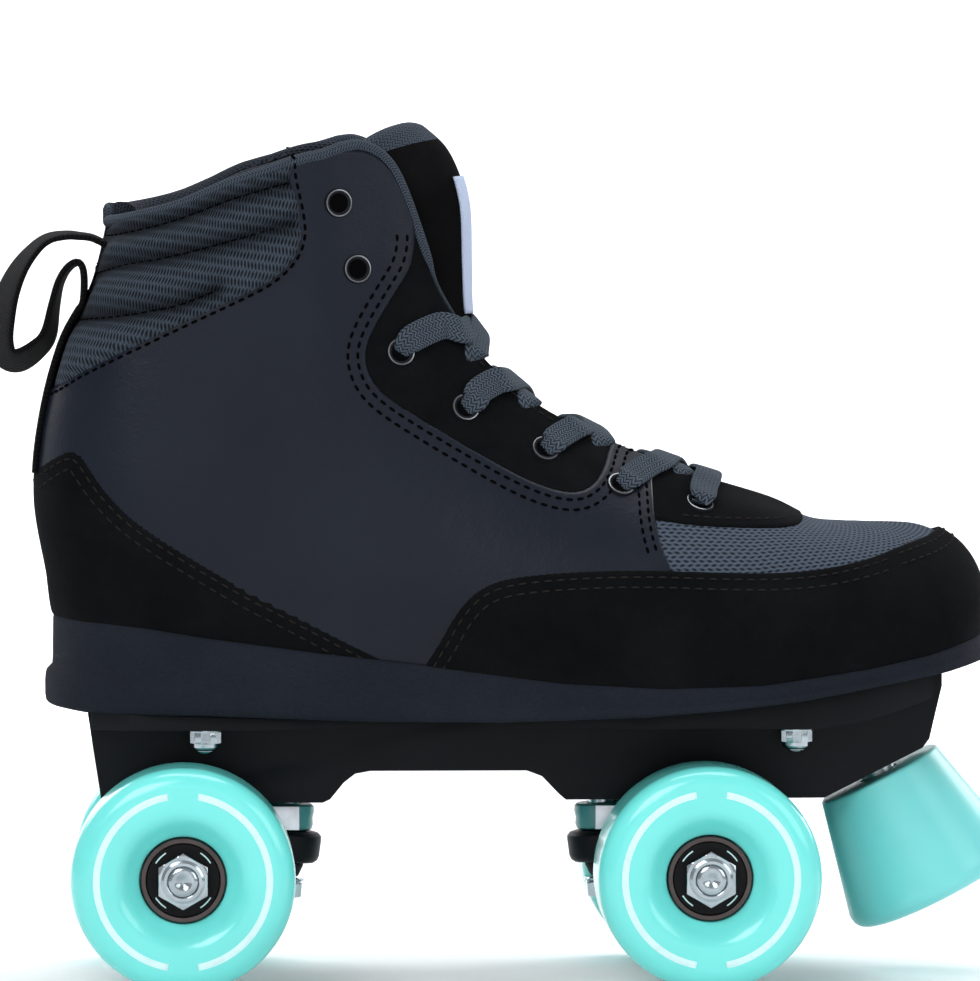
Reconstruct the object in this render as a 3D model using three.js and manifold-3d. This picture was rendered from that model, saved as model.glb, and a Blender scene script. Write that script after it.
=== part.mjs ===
// Quad roller skate (right foot): padded lace-up boot on a nylon plate, two
// sprung trucks, four wheels on ball bearings and a bolt-on toe stop.
// Millimetres, +Z up, +X towards the toe, -Y on the outer (lateral) side.
// Design coordinates: X = 0 at the rear axle, Z = 0 on the ground; the whole
// group is shifted at the end so that the origin is below the middle of the box.
import * as THREE from 'three';
import { mergeVertices } from 'three/addons/utils/BufferGeometryUtils.js';
import Module from 'manifold-3d';

const wasm = await Module();
wasm.setup();

// ---------------------------------------------------------------- dimensions
const WHEEL_D = 58, WHEEL_W = 32, WHEELBASE = 136, AXLE_Z = 29, WHEEL_Y = 37;
const BEARING_OD = 22, BEARING_W = 7, AXLE_R = 4, AXLE_HALF = 54;
const GAP = 0.3;
const KP_REAR_X = 26.8, KP_FRONT_X = 111.2, KP_TILT = 5;
const PLATE_BOTTOM = 46.7;
const SHELL_T = 3.2, COLLAR_T = 7.5;
const ORIGIN_X = 86.33;

// ---------------------------------------------------------------- boot surface
// columns run round the lateral half from heel centre to toe centre, seven
// levels each from the feather line up to the collar, throat or ridge
const COL = [
  [[-33.2,0,92.5],[-35.1,0,106],[-38.4,0,126],[-36.9,0,146],[-31.5,0,167],[-24.2,0,182],[-19.3,0,201.5]],
  [[-26.7,18,92.2],[-28.5,18.3,106],[-31.7,18.6,126],[-30.5,17.7,146],[-25.7,16.1,167],[-18.9,15.1,182.5],[-13.7,15.4,202]],
  [[-12.1,28.6,91.3],[-13.6,29,105.5],[-16.2,29.2,126],[-15.6,27.6,146.5],[-12.7,25.4,168],[-6.4,24.3,185],[-0.3,24.5,205.3]],
  [[10,32,88.8],[9,33.3,105],[7,32,126],[7,30,147],[9,28.3,169],[12.5,28,189],[16,28.7,212.3]],
  [[32,33.2,86],[31,34.6,103],[29.5,32.5,124],[29.5,30,146],[31,27.6,170],[33.5,27,193],[36,26.8,217.2]],
  [[52,34.6,83.8],[51,35.8,101],[48.5,33.3,121],[47,29.6,144],[48,25.2,168],[51,22,190],[53.5,19.5,213]],
  [[69,36.2,81.6],[68,37.6,97],[66.5,35.3,114.5],[65,30.6,134],[65,25.3,153],[66,20,168.5],[68,15.5,178]],
  [[88,39,79.2],[88,40.5,92.5],[87,38.5,108],[86,33.5,123.5],[85.5,27,138],[85.5,20.5,149],[86,14.5,156]],
  [[110,42.5,77.9],[110,44,89.5],[109.5,42,102.5],[109,37,115],[108.5,30,127],[108.5,22.5,135.8],[109,13.5,142.2]],
  [[134,44.8,78],[134,46.3,88],[133.5,44.5,99.5],[133,39.5,110.5],[132.5,32,120],[132.5,23,127.3],[133,12.5,132.8]],
  [[157,44,80.5],[157,45.6,90],[156.5,43.6,100.5],[155.5,38,110],[154.5,29.6,117.5],[154.3,18.5,122.5],[155,0,126]],
  [[178,39,84],[178.5,40.4,93],[177.5,38.4,102],[175.3,32.6,110],[172.3,24.2,115.8],[169,13,119.3],[166,0,121]],
  [[196.5,29.5,87.3],[197.5,30.6,95.5],[196.3,28.6,103.5],[193.2,23.4,110.8],[188.3,16.4,115.8],[182,8.4,119],[175,0,120]],
  [[206.8,16.5,89.5],[208.3,17,97],[207,15.8,104.3],[203.8,12.8,111],[198.3,9,115.7],[190,4.6,119],[178.5,0,119.9]],
  [[209.9,0,90.3],[211.8,0,97],[210.9,0,104.5],[207.5,0,111.2],[202,0,116],[194,0,119.2],[180,0,119.8]],
];
const SOLE_TOP = [[-40,98],[-33,96.5],[5,90.3],[36,86.2],[64,83.1],[98,78.8],[124,77.4],[150,78.1],[178,82],[194,85.1],[207,89],[216,91.8]];
const SOLE_BOT = [[-40,75.8],[-36,75],[-24,71.6],[5,70.5],[50,69],[83,69],[119,70.4],[140,72.1],[160,74.4],[181,78],[198,81.8],[216,87]];
function lerpTable(tab, x) {
  if (x <= tab[0][0]) return tab[0][1];
  for (let i = 1; i < tab.length; i++) if (x <= tab[i][0]) {
    const [a, b] = [tab[i - 1], tab[i]];
    return a[1] + (b[1] - a[1]) * (x - a[0]) / (b[0] - a[0]);
  }
  return tab[tab.length - 1][1];
}
const ztop = x => lerpTable(SOLE_TOP, x), zbot = x => lerpTable(SOLE_BOT, x);
// the forefoot leans towards the medial side
function centre(x) { const u = Math.min(1, Math.max(0, (x - 70) / 140)); return 4.5 * u * u * (3 - 2 * u); }
function cr(a, b, c, d, u) { return 0.5 * (2 * b + (c - a) * u + (2 * a - 5 * b + 4 * c - d) * u * u + (3 * b - a - 3 * c + d) * u * u * u); }
function colPoint(i, t, k) {
  const C = COL[i], n = C.length - 1;
  const j = Math.min(n - 1, Math.max(0, Math.floor(t))), u = t - j;
  const g = q => q < 0 ? 2 * C[0][k] - C[1][k] : q > n ? 2 * C[n][k] - C[n - 1][k] : C[q][k];
  return cr(g(j - 1), g(j), g(j + 1), g(j + 2), u);
}
// s: 0 heel .. 14 toe on the lateral side, 14 .. 28 back along the medial side
function P(s, t) {
  const N = COL.length - 1;
  s = ((s % (2 * N)) + 2 * N) % (2 * N);
  const side = s <= N ? -1 : 1;
  const q = s <= N ? s : 2 * N - s;
  const j = Math.min(N - 1, Math.floor(q)), u = q - j;
  const at = (i, k) => { let m = 1; if (i < 0) { i = -i; m = -1; } if (i > N) { i = 2 * N - i; m = -1; } return colPoint(i, t, k) * (k === 1 ? m : 1); };
  const v = [0, 1, 2].map(k => cr(at(j - 1, k), at(j, k), at(j + 1, k), at(j + 2, k), u));
  const f = Math.max(0, 1 - t);
  v[2] = v[2] * (1 - f) + (ztop(v[0]) + GAP + 0.1) * f;
  if (side > 0 && q < 6) v[2] += 3.5 * Math.min(1, Math.max(0, (t - 3) / 3)) * Math.min(1, (6 - q) / 2);
  return new THREE.Vector3(v[0], side * v[1] + centre(v[0]), v[2]);
}
function normalAt(s, t) {
  const e = 0.06, t0 = Math.max(0.02, Math.min(5.9, t));
  const a = P(s + e, t0).sub(P(s - e, t0)), b = P(s, t0 + e).sub(P(s, t0 - e));
  return a.cross(b).normalize();   // outward
}

// ---------------------------------------------------------------- mesh helpers
function soup(quads) {   // list of polygons (arrays of Vector3) to one indexed geometry
  const pos = [];
  for (const q of quads) for (let i = 1; i + 1 < q.length; i++) for (const p of [q[0], q[i], q[i + 1]]) pos.push(p.x, p.y, p.z);
  const g = new THREE.BufferGeometry();
  g.setAttribute('position', new THREE.Float32BufferAttribute(pos, 3));
  return clean(g);
}
function volume(g) {
  const p = g.attributes.position, ix = g.index; let v = 0;
  const a = new THREE.Vector3(), b = new THREE.Vector3(), c = new THREE.Vector3();
  for (let i = 0; i < ix.count; i += 3) {
    a.fromBufferAttribute(p, ix.getX(i)); b.fromBufferAttribute(p, ix.getX(i + 1)); c.fromBufferAttribute(p, ix.getX(i + 2));
    v += a.dot(b.cross(c)) / 6;
  }
  return v;
}
function clean(g) {
  g.deleteAttribute('normal'); g.deleteAttribute('uv');
  let m = mergeVertices(g, 1e-4);
  const ix = [], p = m.attributes.position;
  for (let i = 0; i < m.index.count; i += 3) {
    const [a, b, c] = [m.index.getX(i), m.index.getX(i + 1), m.index.getX(i + 2)];
    if (a !== b && b !== c && a !== c) ix.push(a, b, c);
  }
  m.setIndex(ix);
  if (volume(m) < 0) { for (let i = 0; i < ix.length; i += 3) { const t = ix[i]; ix[i] = ix[i + 1]; ix[i + 1] = t; } m.setIndex(ix); }
  return m;
}
function solid(g) {
  const m = clean(g.clone());
  return new wasm.Manifold(new wasm.Mesh({ numProp: 3, vertProperties: new Float32Array(m.attributes.position.array), triVerts: new Uint32Array(m.index.array) }));
}
function back(man) {
  const r = man.getMesh(), g = new THREE.BufferGeometry();
  g.setAttribute('position', new THREE.Float32BufferAttribute(new Float32Array(r.vertProperties), 3));
  g.setIndex(Array.from(r.triVerts));
  return g;
}
const joinAll = list => list.map(solid).reduce((a, b) => a.add(b));
// closed patch between an outer grid and an inner grid, both [i][j]
function slab(outer, inner) {
  const q = [], n = outer.length, m = outer[0].length;
  for (let i = 0; i + 1 < n; i++) for (let j = 0; j + 1 < m; j++) {
    q.push([outer[i][j], outer[i + 1][j], outer[i + 1][j + 1], outer[i][j + 1]]);
    q.push([inner[i][j], inner[i][j + 1], inner[i + 1][j + 1], inner[i + 1][j]]);
  }
  for (let i = 0; i + 1 < n; i++) {
    q.push([outer[i][0], inner[i][0], inner[i + 1][0], outer[i + 1][0]]);
    q.push([outer[i][m - 1], outer[i + 1][m - 1], inner[i + 1][m - 1], inner[i][m - 1]]);
  }
  for (let j = 0; j + 1 < m; j++) {
    q.push([outer[0][j], outer[0][j + 1], inner[0][j + 1], inner[0][j]]);
    q.push([outer[n - 1][j], inner[n - 1][j], inner[n - 1][j + 1], outer[n - 1][j + 1]]);
  }
  return soup(q);
}
// closed loft through rings of equal length
function loft(rings) {
  const q = [], m = rings[0].length;
  for (let i = 0; i + 1 < rings.length; i++) for (let j = 0; j < m; j++) {
    const k = (j + 1) % m;
    q.push([rings[i][j], rings[i][k], rings[i + 1][k], rings[i + 1][j]]);
  }
  q.push([...rings[0]].reverse()); q.push(rings[rings.length - 1]);
  return soup(q);
}
function patch(s0, s1, ns, t0, t1, nt, thick, out = 0) {
  const outer = [], inner = [];
  for (let i = 0; i <= ns; i++) {
    const s = s0 + (s1 - s0) * i / ns, ro = [], ri = [];
    for (let j = 0; j <= nt; j++) {
      const a = t0(s), b = t1(s), t = a + (b - a) * j / nt;
      const p = P(s, t), n = normalAt(s, t), th = typeof thick === 'function' ? thick(s, t) : thick;
      ro.push(p.clone().addScaledVector(n, out)); ri.push(p.clone().addScaledVector(n, -th));
    }
    outer.push(ro); inner.push(ri);
  }
  return slab(outer, inner);
}
function latheY(profile, seg) { return clean(new THREE.LatheGeometry(profile.map(([r, y]) => new THREE.Vector2(r, y)), seg)); }
function latheZ(profile, seg) { const g = latheY(profile, seg); g.rotateX(Math.PI / 2); return g; }
// section drawn in X,Z and extruded from y0 to y1
function extrudeXZ(pts, y0, y1) {
  const g = new THREE.ExtrudeGeometry(new THREE.Shape(pts.map(([x, z]) => new THREE.Vector2(x, z))), { depth: y1 - y0, bevelEnabled: false, steps: 1 });
  g.rotateX(Math.PI / 2); g.translate(0, y1, 0);
  return clean(g);
}
function extrudeXY(pts, z0, z1) {
  const g = new THREE.ExtrudeGeometry(new THREE.Shape(pts.map(([x, y]) => new THREE.Vector2(x, y))), { depth: z1 - z0, bevelEnabled: false, steps: 1 });
  g.translate(0, 0, z0);
  return clean(g);
}
function cylZ(r, z0, z1, seg = 24) { return latheZ([[0, z0], [r, z0], [r, z1], [0, z1]], seg); }
function cylY(r, y0, y1, seg = 24) { return latheY([[0, y0], [r, y0], [r, y1], [0, y1]], seg); }
function tubeZ(ri, ro, z0, z1, seg = 24) { const g = latheY([[ri, z0], [ro, z0], [ro, z1], [ri, z1], [ri, z0]], seg); g.rotateX(Math.PI / 2); return g; }
function hexNut(af, ri, h, seg = 20) {   // along +Z from 0 to h, flats towards +-X
  const R = af / Math.sqrt(3), shape = new THREE.Shape();
  for (let i = 0; i < 6; i++) { const a = Math.PI / 6 + i * Math.PI / 3; shape[i ? 'lineTo' : 'moveTo'](R * Math.cos(a), R * Math.sin(a)); }
  shape.closePath();
  if (ri > 0) { const hole = new THREE.Path(); hole.absarc(0, 0, ri, 0, 2 * Math.PI, true); shape.holes.push(hole); }
  return clean(new THREE.ExtrudeGeometry(shape, { depth: h, bevelEnabled: false, steps: 1, curveSegments: seg }));
}

// ---------------------------------------------------------------- scene graph
const skate = new THREE.Group();
skate.position.x = -ORIGIN_X;
const mat = (color, roughness, metalness) => new THREE.MeshStandardMaterial({ color, roughness, metalness });
function add(parent, name, geometry, material, x = 0, y = 0, z = 0) {
  geometry = clean(geometry);
  geometry.computeVertexNormals();
  const m = new THREE.Mesh(geometry, material);
  m.name = name; m.position.set(x, y, z); parent.add(m);
  return m;
}
const TEAL = 0x83e9e3, BLACK = 0x1b1f23, SUEDE = 0x141516, LEATHER = 0x2a2f3b, MESH = 0x3a434d, STEEL = 0xb9bfc6;

// ---------------------------------------------------------------- boot
const tq = s => { const q = Math.abs(s); return q < 4.1 ? 3.45 : q > 5.15 ? 6 : 3.45 + 2.55 * Math.pow((q - 4.1) / 1.05, 1.3); };
const tqs = s => tq(s <= 14 ? s : 28 - s);
const zero = () => 0.0;
add(skate, 'heel_counter', patch(-2.55, 2.55, 14, zero, tq, 6, SHELL_T), mat(SUEDE, 0.95, 0));
add(skate, 'lateral_quarter', patch(2.57, 7.95, 16, zero, tqs, 7, SHELL_T), mat(LEATHER, 0.45, 0));
add(skate, 'medial_quarter', patch(28 - 7.95, 28 - 2.57, 16, zero, tqs, 7, SHELL_T), mat(LEATHER, 0.45, 0));
const collarThick = s => { const q = Math.abs(s); return q < 3.2 ? COLLAR_T : COLLAR_T - (COLLAR_T - 3.2) * Math.min(1, (q - 3.2) / 1.4); };
add(skate, 'collar', patch(-4.86, 4.86, 24, s => tq(s) + 0.12, () => 6.06, 4, collarThick), mat(MESH, 0.9, 0));
{
  const half = (a, b) => patch(a, b, 14, zero, () => 6.1, 6, SHELL_T);
  const cutter = (y) => { const g = new THREE.BoxGeometry(400, 60, 300); g.translate(100, y, 100); return g; };
  const lat = solid(half(8.0, 14.06)), med = solid(half(13.94, 20.0));
  add(skate, 'vamp', back(lat.add(med)), mat(MESH, 0.9, 0));
}
// space kept clear round the upper's shells, for the soft pieces that lie against them
const biggest = m => m.decompose().sort((a, b) => b.volume() - a.volume())[0];
const KEEP = [
  patch(2.4, 8.1, 16, () => -0.1, s => Math.min(6.1, tqs(s) + 0.12), 7, SHELL_T + 0.35, 0.35),
  patch(28 - 8.1, 28 - 2.4, 16, () => -0.1, s => Math.min(6.1, tqs(s) + 0.12), 7, SHELL_T + 0.35, 0.35),
  patch(7.9, 14.1, 12, () => -0.1, () => 6.12, 6, SHELL_T + 0.35, 0.35),
  patch(13.9, 20.1, 12, () => -0.1, () => 6.12, 6, SHELL_T + 0.35, 0.35),
  patch(-5, 5, 34, s => tq(s) - 0.05, () => 6.15, 5, s => collarThick(s) + 0.35, 0.35),
].map(solid).reduce((a, b) => a.add(b));
// outlines that follow the feather line
function outline(n, grow) {
  const pts = [];
  for (let i = 0; i < n; i++) {
    const s = 28 * i / n, a = P(s - 0.05, 0), b = P(s + 0.05, 0), p = P(s, 0);
    const t = b.sub(a); t.z = 0; t.normalize();
    const w = typeof grow === 'function' ? grow(p.x) : grow;
    pts.push(new THREE.Vector3(p.x + t.y * w, p.y - t.x * w, 0));
  }
  return pts;
}
function slabFromOutline(pts, zlo, zhi, growLo = 0) {
  const bot = pts.map(p => new THREE.Vector3(p.x, p.y, zlo(p.x)));
  const top = pts.map(p => new THREE.Vector3(p.x, p.y, zhi(p.x)));
  const q = [], n = pts.length;
  for (let i = 0; i < n; i++) { const k = (i + 1) % n; q.push([bot[i], bot[k], top[k], top[i]]); }
  // strips across the foot between mirrored points
  for (let i = 0; i < n / 2; i++) {
    const a = i, b = i + 1, c = (n - i - 1) % n, d = (n - i) % n;
    const poly = r => { const l = [r[a], r[b], r[c], r[d]]; return l.filter((p, k2) => l.indexOf(p) === k2); };
    q.push(poly(top)); q.push(poly(bot).reverse());
  }
  return soup(q);
}
add(skate, 'sole', slabFromOutline(outline(56, x => 2.2 + 1.1 * Math.min(1, Math.max(0, (x + 10) / 50))), zbot, ztop), mat(0x2b323b, 0.8, 0));
add(skate, 'insole', slabFromOutline(outline(48, -4.2), x => ztop(x) + GAP, x => ztop(x) + 4.3), mat(0x23262b, 0.95, 0));

// tongue: centreline from throat end to the top, with the section wrapped round the shin
const TONGUE = [[146,126.2,12,4],[134,129.2,14,5],[120,133.5,15,6],[106,138.7,15,7],[94,145,14.5,8],[84.5,153,13.5,10],[78.4,163,13.2,12.5],[76,175,13,15.5],[75.8,188,13,18.5],[75.6,200,13.4,22],[74.2,209,13.8,25],[71.3,216.5,14.2,26.5],[66.8,224.4,14.4,26.5]];
let LACE, TONGUE_KEEP;
const tongueShell = (extra) => {
  const outer = [], inner = [];
  for (let i = 0; i < TONGUE.length; i++) {
    const [x, z, w, sag] = TONGUE[i];
    const a = TONGUE[Math.max(0, i - 1)], b = TONGUE[Math.min(TONGUE.length - 1, i + 1)];
    const tx = b[0] - a[0], tz = b[1] - a[1], l = Math.hypot(tx, tz), nx = tz / l, nz = -tx / l;
    const ro = [], ri = [];
    for (let j = 0; j <= 10; j++) {
      const f = -1.3 + 2.6 * j / 10, y = w * Math.sin(f) / Math.sin(1.3), d = sag * (1 - Math.cos(f)) / (1 - Math.cos(1.3));
      const k = 5.2 / Math.max(w, sag);
      ro.push(new THREE.Vector3(x - nx * (d - extra), y * (1 + extra / w) + centre(x), z - nz * (d - extra)));
      ri.push(new THREE.Vector3(x - nx * (d * (1 - k) + 5), y * (1 - k) + centre(x), z - nz * (d * (1 - k) + 5)));
    }
    outer.push(ro); inner.push(ri);
  }
  return solid(slab(outer, inner));
};
TONGUE_KEEP = tongueShell(0.4);
add(skate, 'tongue', back(biggest(tongueShell(0).subtract(KEEP))), mat(0x121213, 0.95, 0));
// pull loop: webbing folded back to the heel
const LOOP = [[-22.9,194.6],[-27.4,195.4],[-30.8,195.6],[-35.3,194.8],[-38.9,192.3],[-43.2,186.9],[-46.4,179.8],[-48,171.8],[-48,165.2],[-46.4,161.6],[-43.2,161],[-38.9,164],[-35.6,169.2],[-34,177.1],[-32.6,183],[-30.3,187],[-27.6,188.6]];
{
  const outer = [], inner = [];
  LOOP.forEach(([x, z], i) => {
    const a = LOOP[Math.max(0, i - 1)], b = LOOP[Math.min(LOOP.length - 1, i + 1)];
    const l = Math.hypot(b[0] - a[0], b[1] - a[1]), nx = (b[1] - a[1]) / l, nz = -(b[0] - a[0]) / l;
    const row = k => [-9, 9].map(y => new THREE.Vector3(x + nx * k, y, z + nz * k));
    outer.push(row(1.1)); inner.push(row(-1.1));
  });
  add(skate, 'pull_loop', slab(outer, inner), mat(BLACK, 0.9, 0));
}
// lace: straight bar at the front, then crossed up to the fifth pair of eyelets
const EYE = [[127.8 + 7.05, 24.5], [107 + 7.05, 24.5], [87.4 + 7.05, 26.5], [66.5 + 7.05, 25], [49.6 + 7.05, 24]];
function surfaceAt(x, z, side) {   // nearest outer point to a side-view position
  let best = null, bd = 1e9, bs = 0, bt = 0;
  for (let s = 4; s <= 11; s += 0.1) for (let t = 2; t <= 6; t += 0.1) {
    const p = P(side < 0 ? s : 28 - s, t), d = (p.x - x) ** 2 + (p.z - z) ** 2;
    if (d < bd) { bd = d; best = p; bs = s; bt = t; }
  }
  return { p: best, n: normalAt(side < 0 ? bs : 28 - bs, bt) };
}
const EYE_XZ = [[134.9, 124.9], [114.1, 129.6], [94.5, 139.3], [73.6, 150.2], [56.7, 164.8]];
{
  const bars = [];
  const eye = (i, side) => { const e = surfaceAt(EYE_XZ[i][0], EYE_XZ[i][1], side); return e.p.clone().addScaledVector(e.n, 1.9); };
  const crest = (i, j) => {   // height over the tongue between two rows
    const x = (EYE_XZ[i][0] + EYE_XZ[j][0]) / 2;
    return { 0: 139.5, 1: 147.5, 2: 156.5, 3: 172 }[Math.min(i, j)];
  };
  const bar = (i, j, lift) => {
    const a = eye(i, -1), b = eye(j, 1), rings = [], n = 8;
    const mx = (a.x + b.x) / 2 + (i === j ? 10 : [12, 12, 11, 13][Math.min(i, j)]), mz = (i === j ? 138 : [142.2, 151.5, 162.5, 178][Math.min(i, j)]) + lift;
    const ctrl = new THREE.Vector3(2 * mx - (a.x + b.x) / 2, 0, 2 * mz - (a.z + b.z) / 2);
    const curve = new THREE.QuadraticBezierCurve3(a, new THREE.Vector3(ctrl.x, (a.y + b.y) / 2, ctrl.z), b);
    for (let k = 0; k <= n; k++) {
      const p = curve.getPoint(k / n), t = curve.getTangent(k / n);
      const up = new THREE.Vector3(0.55, 0, 0.85).normalize(); up.addScaledVector(t, -up.dot(t)).normalize();
      if (k === 0 || k === n) { }
      const side = new THREE.Vector3().crossVectors(t, up).normalize();
      rings.push([[-3.6, -0.7], [3.6, -0.7], [3.6, 0.7], [-3.6, 0.7]].map(([u, v]) => p.clone().addScaledVector(side, u).addScaledVector(up, v)));
    }
    bars.push(loft(rings));
  };
  bar(0, 0, 0);
  for (let i = 0; i < 4; i++) { bar(i, i + 1, 0); bar(i + 1, i, 0); }
  LACE = joinAll(bars);
  add(skate, 'lace', back(biggest(LACE.subtract(KEEP).subtract(TONGUE_KEEP))), mat(0x3f4851, 0.9, 0));
}

// ---------------------------------------------------------------- plate
const BOLTS = [[5.8, -26], [5.8, 26], [160.2, -26], [160.2, 26]];
const STOP_AXIS = 27 * Math.PI / 180;                // tipped forward from the vertical
const STOP_TOP = [184.2, 53.4];
const kpFrame = front => { // kingpin line: tilted so that its foot leans to the axle
  const x = front ? KP_FRONT_X : KP_REAR_X, a = (front ? -1 : 1) * KP_TILT * Math.PI / 180;
  const g = new THREE.Matrix4().makeRotationY(a); g.setPosition(x, 0, PLATE_BOTTOM); return g;
};
const pivotFrame = front => { // pivot socket line, leaning out from the hanger
  const x = front ? WHEELBASE + 12.5 : -12.5, a = (front ? 1 : -1) * 30 * Math.PI / 180;
  const g = new THREE.Matrix4().makeRotationY(a); g.setPosition(x, 0, PLATE_BOTTOM + 1.5); return g;
};
const stopFrame = new THREE.Matrix4().makeRotationY(-STOP_AXIS).setPosition(STOP_TOP[0], 0, STOP_TOP[1]);
{
  const top = [], n = 24;
  for (let i = 0; i <= n; i++) { const x = -25 + (199.4 + 25) * i / n; top.push([x, zbot(x) - GAP - 0.1]); }
  const lower = [[-25, 66.3], [199.4, 66.3]];
  const flangeSide = [...top].reverse().concat([[-25, 66.5], [165, 66.5], [178, 68.5], [199, 74.5]]);
  const plan = [[-24, -25], [-14, -31], [22, -31], [38, -24], [56, -18.5], [86, -18.5], [106, -24], [124, -31.5], [172, -31.5], [188, -27], [199, -17], [199, 17], [188, 27], [172, 31.5], [124, 31.5], [106, 24], [86, 18.5], [56, 18.5], [38, 24], [22, 31], [-14, 31], [-24, 25]];
  const flange = solid(extrudeXZ(flangeSide, -40, 40)).intersect(solid(extrudeXY(plan, 50, 100)));
  const body = [...top].reverse().concat([[-25, 70], [-21.5, 47.4], [-20, PLATE_BOTTOM], [36.5, PLATE_BOTTOM], [38.4, 47.6], [42, 52], [45, 54.3], [48.9, 55], [90, 55], [94, 53.5], [98.5, 48.8], [100.3, PLATE_BOTTOM + 0.6], [168.5, PLATE_BOTTOM + 0.9], [171, 48.9], [194.3, 60.7], [196.1, 63.1], [199.4, 77]]);
  let m = flange.add(solid(extrudeXZ(body, -18.6, 18.6)));
  const place = (g, M) => { g.applyMatrix4(M); return solid(g); };
  for (const [x, y] of BOLTS) m = m.subtract(solid(cylZ(2.85, 40, 100, 16).translate(x, y, 0)));
  for (const f of [false, true]) {
    m = m.subtract(place(cylZ(4.35, -30, 14.3, 20), kpFrame(f)));
    m = m.subtract(place(cylZ(8.2, 9.3, 15.8, 20), kpFrame(f)));
    m = m.subtract(place(cylZ(6.8, -10, 6.5, 20), pivotFrame(f)));
  }
  m = m.subtract(place(cylZ(5.35, -10, 13, 20), stopFrame));
  add(skate, 'plate', back(m), mat(0x15181b, 0.5, 0));
}
BOLTS.forEach(([x, y], i) => {
  const side = (i < 2 ? 'rear' : 'front') + (y < 0 ? '_outer' : '_inner');
    const face = 66.5;
  // stud: from inside the sole's underside down through the flange and nut
  add(skate, 'mounting_bolt_' + side, cylZ(2.5, face - 5.9, zbot(x) - 0.7, 12), mat(STEEL, 0.3, 0.9), x, y, 0);
  add(skate, 'mounting_nut_' + side, hexNut(8, 2.9, 4.9, 6), mat(STEEL, 0.3, 0.9), x, y, face - 0.3 - 4.9);
});

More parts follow.
